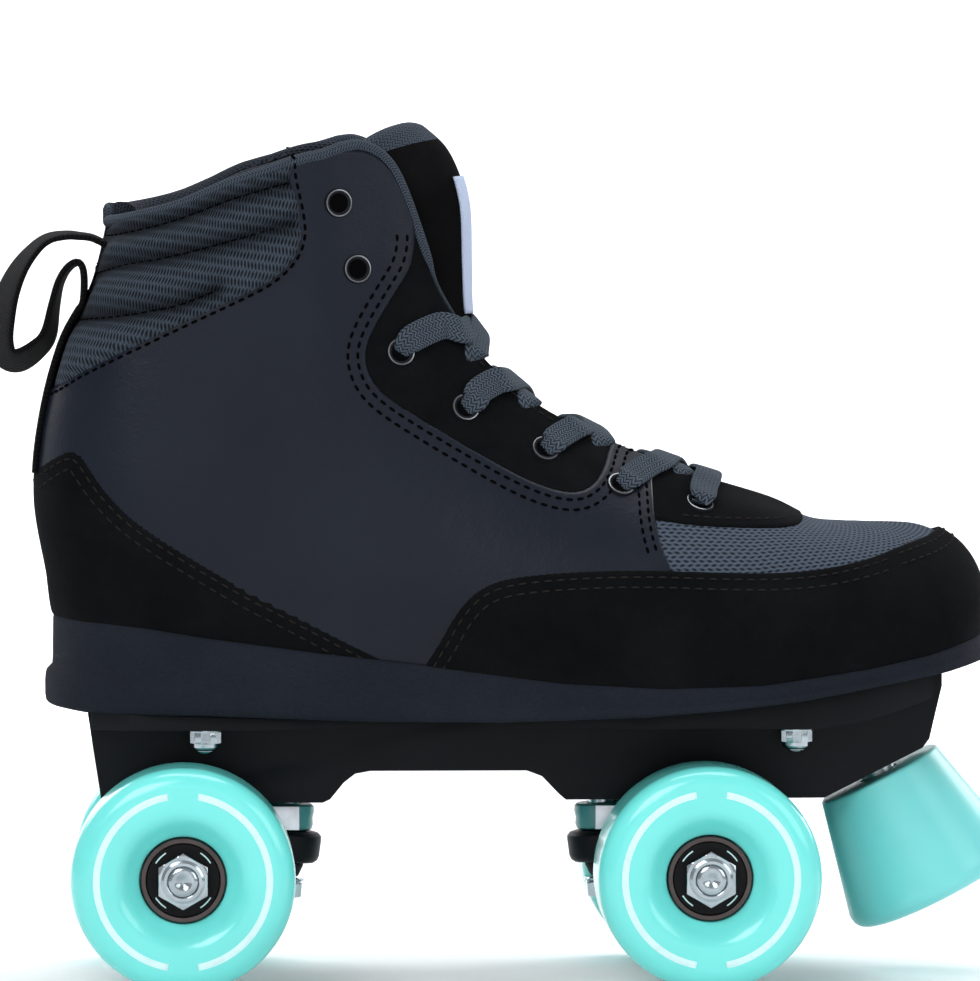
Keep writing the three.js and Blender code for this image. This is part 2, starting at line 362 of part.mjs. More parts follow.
// ---------------------------------------------------------------- trucks
const steel = () => mat(STEEL, 0.3, 0.9);
for (const front of [false, true]) {
  const F = front ? 'front' : 'rear', x0 = front ? WHEELBASE : 0, dir = front ? -1 : 1;
  const kp = kpFrame(front), pv = pivotFrame(front);
  const put = (g, M) => { g.applyMatrix4(M); return g; };
  const truck = new THREE.Group(); skate.add(truck);
  // stack along the kingpin, heights below the plate (local z is negative downwards)
  add(truck, F + '_upper_cushion', put(tubeZ(4.4, 8, -8.0, -1.1, 24), kp), mat(0x3f7c80, 0.5, 0));
  add(truck, F + '_lower_cushion', put(latheRing([[4.4, -16.9], [6.3, -16.9], [5.0, -20.4], [4.4, -20.4]]), kp), mat(BLACK, 0.7, 0));
  add(truck, F + '_cushion_retainer', put(tubeZ(4.4, 6.9, -21.7, -20.7, 24), kp), steel());
  add(truck, F + '_kingpin_nut', put(hexNut(12.7, 4.4, 4.4, 8).translate(0, 0, -26.4), kp), steel());
  // kingpin with its head sunk in the plate
  add(truck, F + '_kingpin', put(latheRing([[0, -27.2], [4, -27.2], [4, 9.7], [7.2, 9.7], [7.2, 14.2], [0, 14.2]].map(([r, z]) => [r, z]), true), kp), steel());
  // pivot cup in the plate and the pin in it
  add(truck, F + '_pivot_cup', put(latheRing([[0, 6.1], [6.4, 6.1], [6.4, -2.5], [4.6, -2.5], [4.6, 2.8], [0, 2.8]], true), pv), mat(0x101214, 0.7, 0));
  const yokeZ = 38 - PLATE_BOTTOM;
  add(truck, F + '_yoke_cup', put(latheRing([[6.3, -8.35], [9.2, -8.35], [10.5, -9.5], [10.5, -15.2], [9.0, -16.6], [6.3, -16.6]]), kp), mat(0x14171a, 0.6, 0));
  // hanger: axle housing, web to the yoke and pivot pin
  {
    const parts = [];
    parts.push(latheY([[0, -25.4], [6.4, -25.4], [6.4, -20], [7.6, -17], [7.6, 17], [6.4, 20], [6.4, 25.4], [0, 25.4]], 24).translate(x0, 0, AXLE_Z));
    const web = [[x0 - 5, AXLE_Z - 3], [x0 + dir * 12, AXLE_Z - 1.5], [x0 + dir * 27, AXLE_Z + 3.3], [x0 + dir * 27, AXLE_Z + 7], [x0 + dir * 12, AXLE_Z + 8.5], [x0 + dir * 4, AXLE_Z + 10.5], [x0 - dir * 6, AXLE_Z + 8], [x0 - dir * 8, AXLE_Z + 1]];
    const web2 = [[x0 - dir * 4, AXLE_Z - 3], [x0 + dir * 12, AXLE_Z - 1.5], [x0 + dir * 22, AXLE_Z + 3.3], [x0 + dir * 22, AXLE_Z + 7.2], [x0 + dir * 12, AXLE_Z + 9], [x0 + dir * 4, AXLE_Z + 11], [x0 - dir * 6, AXLE_Z + 8], [x0 - dir * 8, AXLE_Z + 1]];
    const pts = front ? [...web2].reverse() : web2;
    parts.push(extrudeXZ(pts, -7, 7));
    parts.push(put(latheRing([[0, -24], [5.6, -24], [5.2, -8], [4.0, -3.4], [3.4, 0.6], [2.2, 2.2], [0, 2.4]], true), pv));
    // side lugs that stand up beside the upper cushion
    const reach = front ? 27.4 : 30.4;
    for (const s of [-1, 1]) parts.push(new THREE.BoxGeometry(reach - 10, 1.9, 6.2).translate(x0 + dir * (reach + 10) / 2, s * 9.5, 42.0));
    parts.push(new THREE.BoxGeometry(5, 20.9, 13).translate(x0 + dir * 11.6, 0, AXLE_Z + 9.6));
    let m = joinAll(parts);
    m = m.subtract(solid(cylY(4.3, -40, 40, 24).translate(x0, 0, AXLE_Z)));
    const ring = latheRing([[0, -20], [10.85, -20], [10.85, -8], [8.35, -7.5], [8.35, 2], [0, 2]], true);
    m = m.subtract(solid(put(ring, kp)));
    add(truck, F + '_hanger', back(m), mat(0xc4c8cd, 0.35, 0.9));
  }
  add(truck, F + '_axle', cylY(AXLE_R, -AXLE_HALF, AXLE_HALF, 24), steel(), x0, 0, AXLE_Z);
  for (const s of [-1, 1]) {
    const side = s < 0 ? 'outer' : 'inner', W = F + '_' + side, cy = s * WHEEL_Y;
    const seg = 32, R = WHEEL_D / 2 / Math.cos(Math.PI / seg), h = WHEEL_W / 2;
    const prof = [[9, -3.7], [11.4, -3.7], [11.4, -11], [17.5, -h], [23.5, -h], [27.9, -13.8], [R, -10.2], [R, 10.2], [27.9, 13.8], [23.5, h], [17.5, h], [11.4, 11], [11.4, 3.7], [9, 3.7], [9, -3.7]];
    const wheel = latheY(prof, seg); wheel.rotateY(Math.PI / seg);
    add(truck, W + '_wheel', wheel, mat(TEAL, 0.25, 0), x0, cy, AXLE_Z);
    const ring = () => latheY([[4.4, -3.5], [11, -3.5], [11, 3.5], [4.4, 3.5], [4.4, -3.5]], 16);
    add(truck, W + '_outboard_bearing', ring(), mat(0x2a2c30, 0.4, 0.6), x0, s * (WHEEL_Y + 7.5), AXLE_Z);
    add(truck, W + '_inboard_bearing', ring(), mat(0x2a2c30, 0.4, 0.6), x0, s * (WHEEL_Y - 7.5), AXLE_Z);
    add(truck, W + '_bearing_spacer', latheY([[4.4, -3.6], [5.6, -3.6], [5.6, 3.6], [4.4, 3.6], [4.4, -3.6]], 16), steel(), x0, cy, AXLE_Z);
    const nut = hexNut(12.6, 4.4, 5.2, 8); nut.rotateX(Math.PI / 2); if (s < 0) nut.rotateX(Math.PI); 
    nut.computeBoundingBox(); const c = new THREE.Vector3(); nut.boundingBox.getCenter(c); nut.translate(-c.x, -c.y, -c.z);
    add(truck, W + '_axle_nut', nut, steel(), x0, s * (48.4 + 2.6), AXLE_Z);
  }
}
function latheRing(profile, axis = false) {  // closed ring or solid of revolution about Z, heights along +Z
  const p = axis ? profile : [...profile, profile[0]];
  const g = latheY(p, 24); g.rotateX(Math.PI / 2);
  g.computeBoundingBox();
  return clean(g);
}

// ---------------------------------------------------------------- toe stop
{
  const place = g => { g.applyMatrix4(stopFrame); return g; };
  const stop = latheY([[0, -36.2], [19.6, -36.2], [23.2, -34.3], [24, -31.2], [17, -0.7], [5.4, -0.7], [5.4, -14], [0, -14]], 32);
  stop.rotateX(Math.PI / 2);
  add(skate, 'toe_stop', place(stop), mat(0x79d7d7, 0.45, 0));
  const bolt = latheY([[0, -13.6], [5, -13.6], [5, 12.6], [0, 12.6]], 20); bolt.rotateX(Math.PI / 2);
  add(skate, 'toe_stop_bolt', place(bolt), steel());
}

export default skate;
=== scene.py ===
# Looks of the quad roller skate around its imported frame. Design coordinates are
# millimetres with X = 0 at the rear axle and Z = 0 on the ground; V() turns them
# into the frame's metres.
import math
import bpy, bmesh
import numpy as np
from mathutils import Vector, Matrix


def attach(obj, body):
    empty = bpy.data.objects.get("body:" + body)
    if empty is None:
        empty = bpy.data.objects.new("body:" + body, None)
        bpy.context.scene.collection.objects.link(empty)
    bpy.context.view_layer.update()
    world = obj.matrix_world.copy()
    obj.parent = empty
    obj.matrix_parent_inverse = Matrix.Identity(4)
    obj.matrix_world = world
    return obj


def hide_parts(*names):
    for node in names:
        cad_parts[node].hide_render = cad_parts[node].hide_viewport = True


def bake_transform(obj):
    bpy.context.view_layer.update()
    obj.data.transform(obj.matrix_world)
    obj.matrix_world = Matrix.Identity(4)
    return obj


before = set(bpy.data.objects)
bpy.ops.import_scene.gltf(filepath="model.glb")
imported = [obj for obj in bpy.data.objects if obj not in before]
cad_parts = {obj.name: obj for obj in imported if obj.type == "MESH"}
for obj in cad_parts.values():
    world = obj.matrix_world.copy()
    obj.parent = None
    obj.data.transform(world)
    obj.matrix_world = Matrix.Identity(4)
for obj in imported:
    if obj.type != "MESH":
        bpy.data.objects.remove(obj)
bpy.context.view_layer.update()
OX = 86.33
RNG = np.random.default_rng(7)
BODY = "boot_and_plate"

# ------------------------------------------------------------------ camera, light, floor
def V(x, y, z):
    return ((x - OX) / 1000.0, y / 1000.0, z / 1000.0)

cam_d = bpy.data.cameras.new("camera")
cam = bpy.data.objects.new("camera", cam_d)
bpy.context.collection.objects.link(cam)
cam_d.sensor_fit = "HORIZONTAL"
cam_d.sensor_width = 36.0
cam_d.lens = 6435.0 / 980.0 * 36.0
cam_d.clip_start = 0.05
cam_d.clip_end = 50
cam.location = V(7.05, -1703.0, 175.8)
aim = Vector(V(81.15, 0.0, 128.03))
cam.rotation_euler = (aim - cam.location).to_track_quat("-Z", "Y").to_euler()
bpy.context.scene.camera = cam

def area(name, loc, target, size, power, color=(1, 1, 1), size_y=None):
    d = bpy.data.lights.new(name, "AREA")
    d.energy = power
    d.color = color
    d.shape = "RECTANGLE"
    d.size = size
    d.size_y = size_y or size
    o = bpy.data.objects.new(name, d)
    bpy.context.collection.objects.link(o)
    o.location = loc
    o.rotation_euler = (Vector(target) - Vector(loc)).to_track_quat("-Z", "Y").to_euler()
    return o

area("key", (-0.75, -1.25, 1.25), (0, 0, 0.1), 0.9, 14)
area("fill", (1.25, -1.0, 0.75), (0, 0, 0.1), 0.9, 5.5)
area("front_soft", (0.0, -1.6, 0.35), (0, 0, 0.08), 1.2, 3.2)
area("top", (0.1, 0.25, 1.5), (0, 0, 0.1), 1.0, 12)
area("rim_back", (-0.9, 1.1, 0.8), (0, 0, 0.12), 0.7, 7)
area("rim_right", (1.1, 0.9, 0.7), (0, 0, 0.12), 0.7, 8)
area("backdrop", (0.0, 1.0, 0.9), (0, 2.9, 0.7), 1.6, 40)
world = bpy.data.worlds.new("studio")
world.use_nodes = True
world.node_tree.nodes["Background"].inputs[0].default_value = (0.93, 0.95, 1.0, 1)
world.node_tree.nodes["Background"].inputs[1].default_value = 0.5
bpy.context.scene.world = world
bpy.context.scene.view_settings.view_transform = "Standard"

# ------------------------------------------------------------------ materials
def srgb(r, g, b):
    f = lambda c: (c / 255) / 12.92 if c / 255 <= 0.04045 else (((c / 255) + 0.055) / 1.055) ** 2.4
    return (f(r), f(g), f(b), 1.0)

class NT:
    def __init__(self, name):
        self.m = bpy.data.materials.new(name)
        self.m.use_nodes = True
        self.t = self.m.node_tree
        self.n = self.t.nodes
        self.n.clear()
        self.out = self.n.new("ShaderNodeOutputMaterial")
        self.b = self.n.new("ShaderNodeBsdfPrincipled")
        self.t.links.new(self.b.outputs[0], self.out.inputs["Surface"])
    def new(self, kind, **kw):
        n = self.n.new(kind)
        for k, v in kw.items():
            if hasattr(n, k) and k not in [i.name for i in n.inputs]:
                setattr(n, k, v)
            else:
                n.inputs[k].default_value = v
        return n
    def link(self, a, b):
        self.t.links.new(a, b)
    def coord(self, scale=(1, 1, 1), attr=None, rot=(0, 0, 0)):
        if attr:
            c = self.new("ShaderNodeAttribute", attribute_name=attr).outputs["Vector"]
        else:
            c = self.new("ShaderNodeTexCoord").outputs["Object"]
        mp = self.new("ShaderNodeMapping")
        mp.inputs["Scale"].default_value = scale
        mp.inputs["Rotation"].default_value = rot
        self.link(c, mp.inputs["Vector"])
        return mp.outputs[0]
    def noise(self, scale, detail=3, vec=None, rough=0.55):
        n = self.new("ShaderNodeTexNoise")
        n.inputs["Scale"].default_value = scale
        n.inputs["Detail"].default_value = detail
        n.inputs["Roughness"].default_value = rough
        self.link(vec or self.coord(), n.inputs["Vector"])
        return n.outputs["Fac"]
    def voronoi(self, scale, vec=None, feature="F1", rnd=1.0):
        n = self.new("ShaderNodeTexVoronoi", feature=feature)
        n.inputs["Scale"].default_value = scale
        n.inputs["Randomness"].default_value = rnd
        self.link(vec or self.coord(), n.inputs["Vector"])
        return n.outputs["Distance"]
    def math(self, op, a, b=None, clamp=False):
        n = self.new("ShaderNodeMath", operation=op, use_clamp=clamp)
        for i, v in enumerate((a, b)):
            if v is None:
                continue
            if isinstance(v, (int, float)):
                n.inputs[i].default_value = v
            else:
                self.link(v, n.inputs[i])
        return n.outputs[0]
    def ramp(self, fac, stops):
        n = self.new("ShaderNodeValToRGB")
        e = n.color_ramp.elements
        while len(e) < len(stops):
            e.new(0.5)
        for el, (p, c) in zip(e, stops):
            el.position = p
            el.color = c if len(c) == 4 else (*c, 1)
        self.link(fac, n.inputs["Fac"])
        return n.outputs["Color"]
    def range(self, fac, lo, hi, a=0.0, b=1.0):
        n = self.new("ShaderNodeMapRange")
        n.inputs["From Min"].default_value = a
        n.inputs["From Max"].default_value = b
        n.inputs["To Min"].default_value = lo
        n.inputs["To Max"].default_value = hi
        self.link(fac, n.inputs["Value"])
        return n.outputs["Result"]
    def bump(self, h, strength, dist, prev=None):
        n = self.new("ShaderNodeBump")
        n.inputs["Strength"].default_value = strength
        n.inputs["Distance"].default_value = dist
        self.link(h, n.inputs["Height"])
        if prev is not None:
            self.link(prev, n.inputs["Normal"])
        return n.outputs["Normal"]
    def set(self, color=None, rough=None, normal=None, **kw):
        for key, v in (("Base Color", color), ("Roughness", rough), ("Normal", normal)):
            if v is None:
                continue
            if isinstance(v, (tuple, float, int)):
                self.b.inputs[key].default_value = v
            else:
                self.link(v, self.b.inputs[key])
        for k, v in kw.items():
            self.b.inputs[k.replace("_", " ")].default_value = v
        return self.m

def dark(c, k):
    return tuple(x * k for x in c[:3]) + (1.0,)

def suede_mat(name, c, k=1.0):
    m = NT(name)
    nap = m.noise(55, 4, rough=0.6)
    fine = m.noise(2600, 3, rough=0.75)
    mix = m.math("ADD", m.math("MULTIPLY", nap, 0.55), m.math("MULTIPLY", fine, 0.45))
    col = m.ramp(mix, [(0.32, dark(c, 0.6)), (0.52, c), (0.72, dark(c, 1.6))])
    nb = m.bump(fine, 0.55, 0.00035)
    nb = m.bump(m.noise(420, 3), 0.25, 0.0005, nb)
    return m.set(col, 0.96, nb, Sheen_Weight=0.012, Sheen_Roughness=0.4, Sheen_Tint=(0.7, 0.72, 0.78, 1), Specular_IOR_Level=0.02)

def leather_mat(name, c):
    m = NT(name)
    grain = m.voronoi(1350, feature="F1")
    crease = m.noise(38, 5, rough=0.6)
    col = m.ramp(m.noise(16, 4), [(0.3, dark(c, 0.8)), (0.55, c), (0.75, dark(c, 1.22))])
    nb = m.bump(grain, 0.16, 0.00022)
    nb = m.bump(m.noise(620, 3), 0.12, 0.0003, nb)
    nb = m.bump(crease, 0.22, 0.0022, nb)
    rg = m.range(m.noise(90, 4), 0.3, 0.44)
    return m.set(col, rg, nb, Specular_IOR_Level=0.15)

def knit_mat(name, c, cell=(1.55, 0.95), attr="wv", flat=1.0, painted_seam_shade=False):
    m = NT(name)
    # rows of leaning holes, offset from row to row, in surface millimetres
    vec = m.new("ShaderNodeAttribute", attribute_name=attr).outputs["Vector"]
    sep = m.new("ShaderNodeSeparateXYZ")
    m.link(vec, sep.inputs[0])
    u = m.math("MULTIPLY", sep.outputs[0], 1.0 / cell[0])
    v = m.math("MULTIPLY", sep.outputs[1], 1.0 / cell[1])
    row = m.math("FLOOR", v)
    odd = m.math("MULTIPLY", m.math("FRACT", m.math("MULTIPLY", row, 0.5)), 1.0)
    fv = m.math("SUBTRACT", m.math("FRACT", v), 0.5)
    lean = m.math("MULTIPLY", fv, m.math("SUBTRACT", m.math("MULTIPLY", odd, 1.6), 0.4))
    fu = m.math("SUBTRACT", m.math("FRACT", m.math("ADD", m.math("ADD", u, odd), lean)), 0.5)
    du = m.math("MULTIPLY", fu, 2.0)
    dv = m.math("MULTIPLY", fv, 2.0 * flat)
    d = m.math("SQRT", m.math("ADD", m.math("MULTIPLY", du, du), m.math("MULTIPLY", dv, dv)))
    wob = m.math("ADD", d, m.math("MULTIPLY", m.math("SUBTRACT", m.noise(900, 2), 0.5), 0.35))
    col = m.ramp(wob, [(0.25, dark(c, 0.16)), (0.55, dark(c, 0.75)), (0.85, dark(c, 1.25)), (1.0, dark(c, 1.5))])
    hi = m.range(wob, 0, 1, 0.3, 0.9)
    # painted shade: the colour is scaled down towards the quilting seams, standing in for the shade in the valleys
    # between the padded channels
    if painted_seam_shade:
        sc = m.new("ShaderNodeVectorMath", operation="SCALE")
        m.link(col, sc.inputs[0]); m.link(m.range(sep.outputs[2], 0.22, 1.12), sc.inputs["Scale"])
        col = sc.outputs[0]
    nb = m.bump(hi, 0.7, 0.0004)
    nb = m.bump(m.noise(3200, 2), 0.3, 0.0002, nb)
    return m.set(col, 0.9, nb, Sheen_Weight=0.02, Sheen_Roughness=0.5, Specular_IOR_Level=0.05)

def weave_mat(name, c, pitch=0.9, attr="wv", lo=0.35, hi=1.5, chevron=1.0):
    m = NT(name)
    vec = m.new("ShaderNodeAttribute", attribute_name=attr).outputs["Vector"]
    sep = m.new("ShaderNodeSeparateXYZ")
    m.link(vec, sep.inputs[0])
    u = m.math("MULTIPLY", sep.outputs[0], 1.0 / pitch)
    v = m.math("MULTIPLY", sep.outputs[1], 1.0 / pitch)
    av = m.math("ABSOLUTE", m.math("SUBTRACT", m.math("FRACT", m.math("MULTIPLY", v, 0.5)), 0.5))
    w = m.math("FRACT", m.math("ADD", u, m.math("MULTIPLY", av, 2.0 * chevron)))
    ridge = m.math("SUBTRACT", 1.0, m.math("ABSOLUTE", m.math("SUBTRACT", m.math("MULTIPLY", w, 2.0), 1.0)))
    cross = m.math("ABSOLUTE", m.math("SUBTRACT", m.math("MULTIPLY", m.math("FRACT", v), 2.0), 1.0))
    h = m.math("MULTIPLY", ridge, m.math("SUBTRACT", 1.0, m.math("MULTIPLY", cross, 0.45)))
    h2 = m.math("ADD", h, m.math("MULTIPLY", m.math("SUBTRACT", m.noise(1500, 2), 0.5), 0.3))
    col = m.ramp(h2, [(0.1, dark(c, lo)), (0.5, c), (0.95, dark(c, hi))])
    nb = m.bump(h, 0.8, 0.0003)
    nb = m.bump(m.noise(3000, 2), 0.25, 0.00015, nb)
    return m.set(col, 0.88, nb, Sheen_Weight=0.02, Specular_IOR_Level=0.06)

def rubber_mat(name, c, rough=0.75, tex=900, amt=0.35, dist=0.0004, spec=0.15):
    m = NT(name)
    n1 = m.noise(tex, 4, rough=0.7)
    col = m.ramp(m.math("ADD", m.math("MULTIPLY", m.noise(30, 4), 0.6), m.math("MULTIPLY", n1, 0.4)),
                 [(0.3, dark(c, 0.78)), (0.5, c), (0.72, dark(c, 1.3))])
    nb = m.bump(n1, amt, dist)
    rg = m.range(m.noise(140, 3), rough - 0.08, rough + 0.08)
    return m.set(col, rg, nb, Specular_IOR_Level=spec)

def urethane_mat(name, c, rough=0.2, coat=0.35, sub=0.0):
    m = NT(name)
    col = m.ramp(m.noise(22, 3), [(0.3, dark(c, 0.93)), (0.55, c), (0.8, dark(c, 1.05))])
    rg = m.range(m.noise(260, 4), rough - 0.05, rough + 0.07)
    nb = m.bump(m.noise(180, 3), 0.04, 0.0004)
    nb = m.bump(m.noise(2400, 2), 0.03, 0.0001, nb)
    return m.set(col, rg, nb, Coat_Weight=coat, Coat_Roughness=0.12, Specular_IOR_Level=0.5,
                 Subsurface_Weight=sub, Subsurface_Scale=0.004)

def metal_mat(name, c, rough=0.25, brush=0.12, met=1.0):
    m = NT(name)
    n1 = m.noise(420, 4, m.coord((1, 1, 7)))
    col = m.ramp(m.noise(160, 4), [(0.3, dark(c, 0.78)), (0.6, c), (0.85, dark(c, 1.1))])
    rg = m.range(n1, max(0.05, rough - brush), rough + brush)
    nb = m.bump(n1, 0.06, 0.0002)
    return m.set(col, rg, nb, Metallic=met)

def plain_mat(name, c, rough=0.5, spec=0.4):
    m = NT(name)
    col = m.ramp(m.noise(300, 3), [(0.3, dark(c, 0.9)), (0.6, c), (0.85, dark(c, 1.06))])
    nb = m.bump(m.noise(1600, 3), 0.1, 0.0002)
    return m.set(col, m.range(m.noise(200, 2), rough - 0.06, rough + 0.06), nb, Specular_IOR_Level=spec)

M = dict(
    suede=suede_mat("suede_black", srgb(15, 16, 17)),
    suede2=suede_mat("suede_tongue", srgb(14, 14, 15)),
    leather=leather_mat("leather_navy_black", srgb(19, 24, 34)),
    # the collar knit carries painted shade along its quilting seams
    mesh=knit_mat("mesh_collar", srgb(50, 57, 66), (1.0, 2.4), flat=0.62, painted_seam_shade=True),
    toemesh=knit_mat("mesh_toe", srgb(58, 66, 77), (2.1, 1.25)),
    lining=knit_mat("lining_fabric", srgb(36, 40, 47), (1.5, 0.9)),
    insole=plain_mat("insole_fabric", srgb(24, 26, 30), 0.9, 0.1),
    binding=weave_mat("binding_fabric", srgb(60, 68, 78), 0.8),
    lace=weave_mat("lace_woven", srgb(66, 75, 85), 1.0, lo=0.2, hi=1.6),
    webbing=weave_mat("webbing_black", srgb(17, 17, 19), 1.2),
    thread=plain_mat("thread_dark", srgb(36, 33, 32), 0.9, 0.04),
    thread2=plain_mat("thread_black", srgb(4, 4, 5), 0.9, 0.02),
    sole=rubber_mat("sole_textured", srgb(30, 34, 42), 0.85, 1150, 1.0, 0.0009, 0.08),
    nylon=rubber_mat("nylon_black", srgb(10, 12, 16), 0.46, 1500, 0.12, 0.0002, 0.12),
    teal=urethane_mat("urethane_teal", srgb(110, 221, 214), 0.2, 0.35, 0.05),
    stop=urethane_mat("urethane_stop", srgb(113, 207, 205), 0.34, 0.1, 0.04),
    # painted shade: the cushion is the wheels' teal darkened, standing for the shade under the plate
    cushion=urethane_mat("urethane_cushion", srgb(60, 132, 132), 0.35, 0.2),
    ring=plain_mat("white_print", srgb(206, 238, 238), 0.3),
    black=rubber_mat("rubber_black", srgb(14, 15, 17), 0.6, 1200, 0.15, 0.0002, 0.12),
    hole=rubber_mat("hole_dark", srgb(5, 5, 6), 0.9, 1200, 0.1, 0.0002, 0.02),
    shield=rubber_mat("bearing_shield", srgb(10, 10, 12), 0.42, 900, 0.1, 0.0001, 0.12),
    zinc=metal_mat("zinc_bright", (0.42, 0.48, 0.51, 1), 0.16),
    steel=metal_mat("race_steel", (0.085, 0.07, 0.068, 1), 0.3, 0.08),
    alu=metal_mat("cast_aluminium", (0.62, 0.65, 0.69, 1), 0.34, 0.12),
    label=weave_mat("label_pale", srgb(196, 209, 234), 0.5, lo=0.8, hi=1.1),
    # metal for the eyelets' crown band only, a painted highlight ring
    rim=metal_mat("eyelet_rim", (0.2, 0.21, 0.23, 1), 0.2, 0.06),
)

# ------------------------------------------------------------------ mesh helpers
def obj_from(name, verts, faces, mat, smooth=True, attr=None, mats=None, fmat=None, angle=None):
    me = bpy.data.meshes.new(name)
    v = np.asarray(verts, dtype=float).reshape(-1, 3).copy()
    v[:, 0] -= OX
    v /= 1000.0
    me.from_pydata(v.tolist(), [], [tuple(int(i) for i in f) for f in faces])
    me.update()
    o = bpy.data.objects.new(name, me)
    bpy.context.collection.objects.link(o)
    for m in (mats or [mat]):
        me.materials.append(m)
    if fmat is not None:
        me.polygons.foreach_set("material_index", np.asarray(fmat, dtype=np.int32))
    me.polygons.foreach_set("use_smooth", [smooth] * len(me.polygons))
    if attr is not None:
        a = me.attributes.new("wv", "FLOAT_VECTOR", "POINT")
        at_ = np.asarray(attr); k_ = at_.shape[-1]
        w = np.zeros((len(v), 3)); w[:, :k_] = at_.reshape(-1, k_)
        a.data.foreach_set("vector", w.ravel())
    if angle is not None:
        sharp(o, angle)
    return o

def sharp(o, deg):
    bm = bmesh.new(); bm.from_mesh(o.data)
    lim = math.radians(deg)
    for e in bm.edges:
        if len(e.link_faces) == 2 and e.calc_face_angle(0) > lim:
            e.smooth = False
    bm.to_mesh(o.data); bm.free()

def fixnormals(o):
    bm = bmesh.new(); bm.from_mesh(o.data)
    bmesh.ops.recalc_face_normals(bm, faces=bm.faces)
    bm.to_mesh(o.data); bm.free()

def grid_faces(n, m, wrap_u=False, wrap_v=False):
    f = []
    for i in range(n if wrap_u else n - 1):
        i2 = (i + 1) % n
        for j in range(m if wrap_v else m - 1):
            j2 = (j + 1) % m
            f.append((i * m + j, i2 * m + j, i2 * m + j2, i * m + j2))
    return f

def lathe(name, prof, mat, origin, axis="Y", seg=96, body=BODY, sgn=1, mats=None, bandmat=None, angle=38, M4=None, closed=False):
    """prof: (radius, height) list from axis end to axis end, in mm; heights along +axis*sgn"""
    th = np.linspace(0, 2 * np.pi, seg, endpoint=False)
    verts, faces, fm = [], [], []
    idx = []
    for (r, h) in prof:
        if r < 1e-6:
            idx.append([len(verts)] * seg); verts.append((0, 0, h))
        else:
            idx.append(list(range(len(verts), len(verts) + seg)))
            verts += [(r * math.cos(a), r * math.sin(a), h) for a in th]
    loops = list(range(len(prof) - 1)) + ([len(prof) - 1] if closed else [])
    for k in loops:
        a, b = idx[k], idx[(k + 1) % len(prof)]
        for i in range(seg):
            j = (i + 1) % seg
            q = [a[i], a[j], b[j], b[i]]
            q2 = []
            for t in q:
                if t not in q2: q2.append(t)
            if len(q2) > 2:
                faces.append(q2); fm.append(bandmat[k] if bandmat else 0)
    v = np.array(verts, float)
    if axis == "Y":
        v = np.stack([v[:, 0], v[:, 2] * sgn, v[:, 1]], 1)
    if M4 is not None:
        R, t = M4
        v = v @ R.T + t
    v = v + np.array(origin, float)
    o = obj_from(name, v, faces, mat, mats=mats, fmat=fm if bandmat else None)
    fixnormals(o); sharp(o, angle)
    if body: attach(o, body)
    return o

def join(name, objs):
    bpy.ops.object.select_all(action="DESELECT")
    for o in objs: o.select_set(True)
    bpy.context.view_layer.objects.active = objs[0]
    bpy.ops.object.join()
    objs[0].name = name; objs[0].data.name = name
    return objs[0]

def refine(node, name, mat, width=0.8, segs=3, body=BODY, angle=30, limit=1.0):
    """copy of a CAD node with its flats merged and its edges rounded"""
    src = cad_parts[node]
    me = src.data.copy(); me.name = name
    o = bpy.data.objects.new(name, me)
    bpy.context.collection.objects.link(o)
    me.transform(src.matrix_world)
    me.materials.clear(); me.materials.append(mat)
    bm = bmesh.new(); bm.from_mesh(me)
    bmesh.ops.remove_doubles(bm, verts=bm.verts, dist=1e-6)
    bmesh.ops.dissolve_limit(bm, angle_limit=math.radians(limit), verts=bm.verts, edges=bm.edges)
    bm.to_mesh(me); bm.free()
    md = o.modifiers.new("bevel", "BEVEL")
    md.width = width / 1000; md.segments = segs; md.limit_method = "ANGLE"; md.angle_limit = math.radians(angle)
    md.harden_normals = False; md.use_clamp_overlap = True
    dg = bpy.context.evaluated_depsgraph_get()
    me2 = bpy.data.meshes.new_from_object(o.evaluated_get(dg))
    o.modifiers.clear(); o.data = me2
    me2.materials.clear(); me2.materials.append(mat)
    me2.polygons.foreach_set("use_smooth", [True] * len(me2.polygons))
    sharp(o, 34)
    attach(o, body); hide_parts(node)
    return o

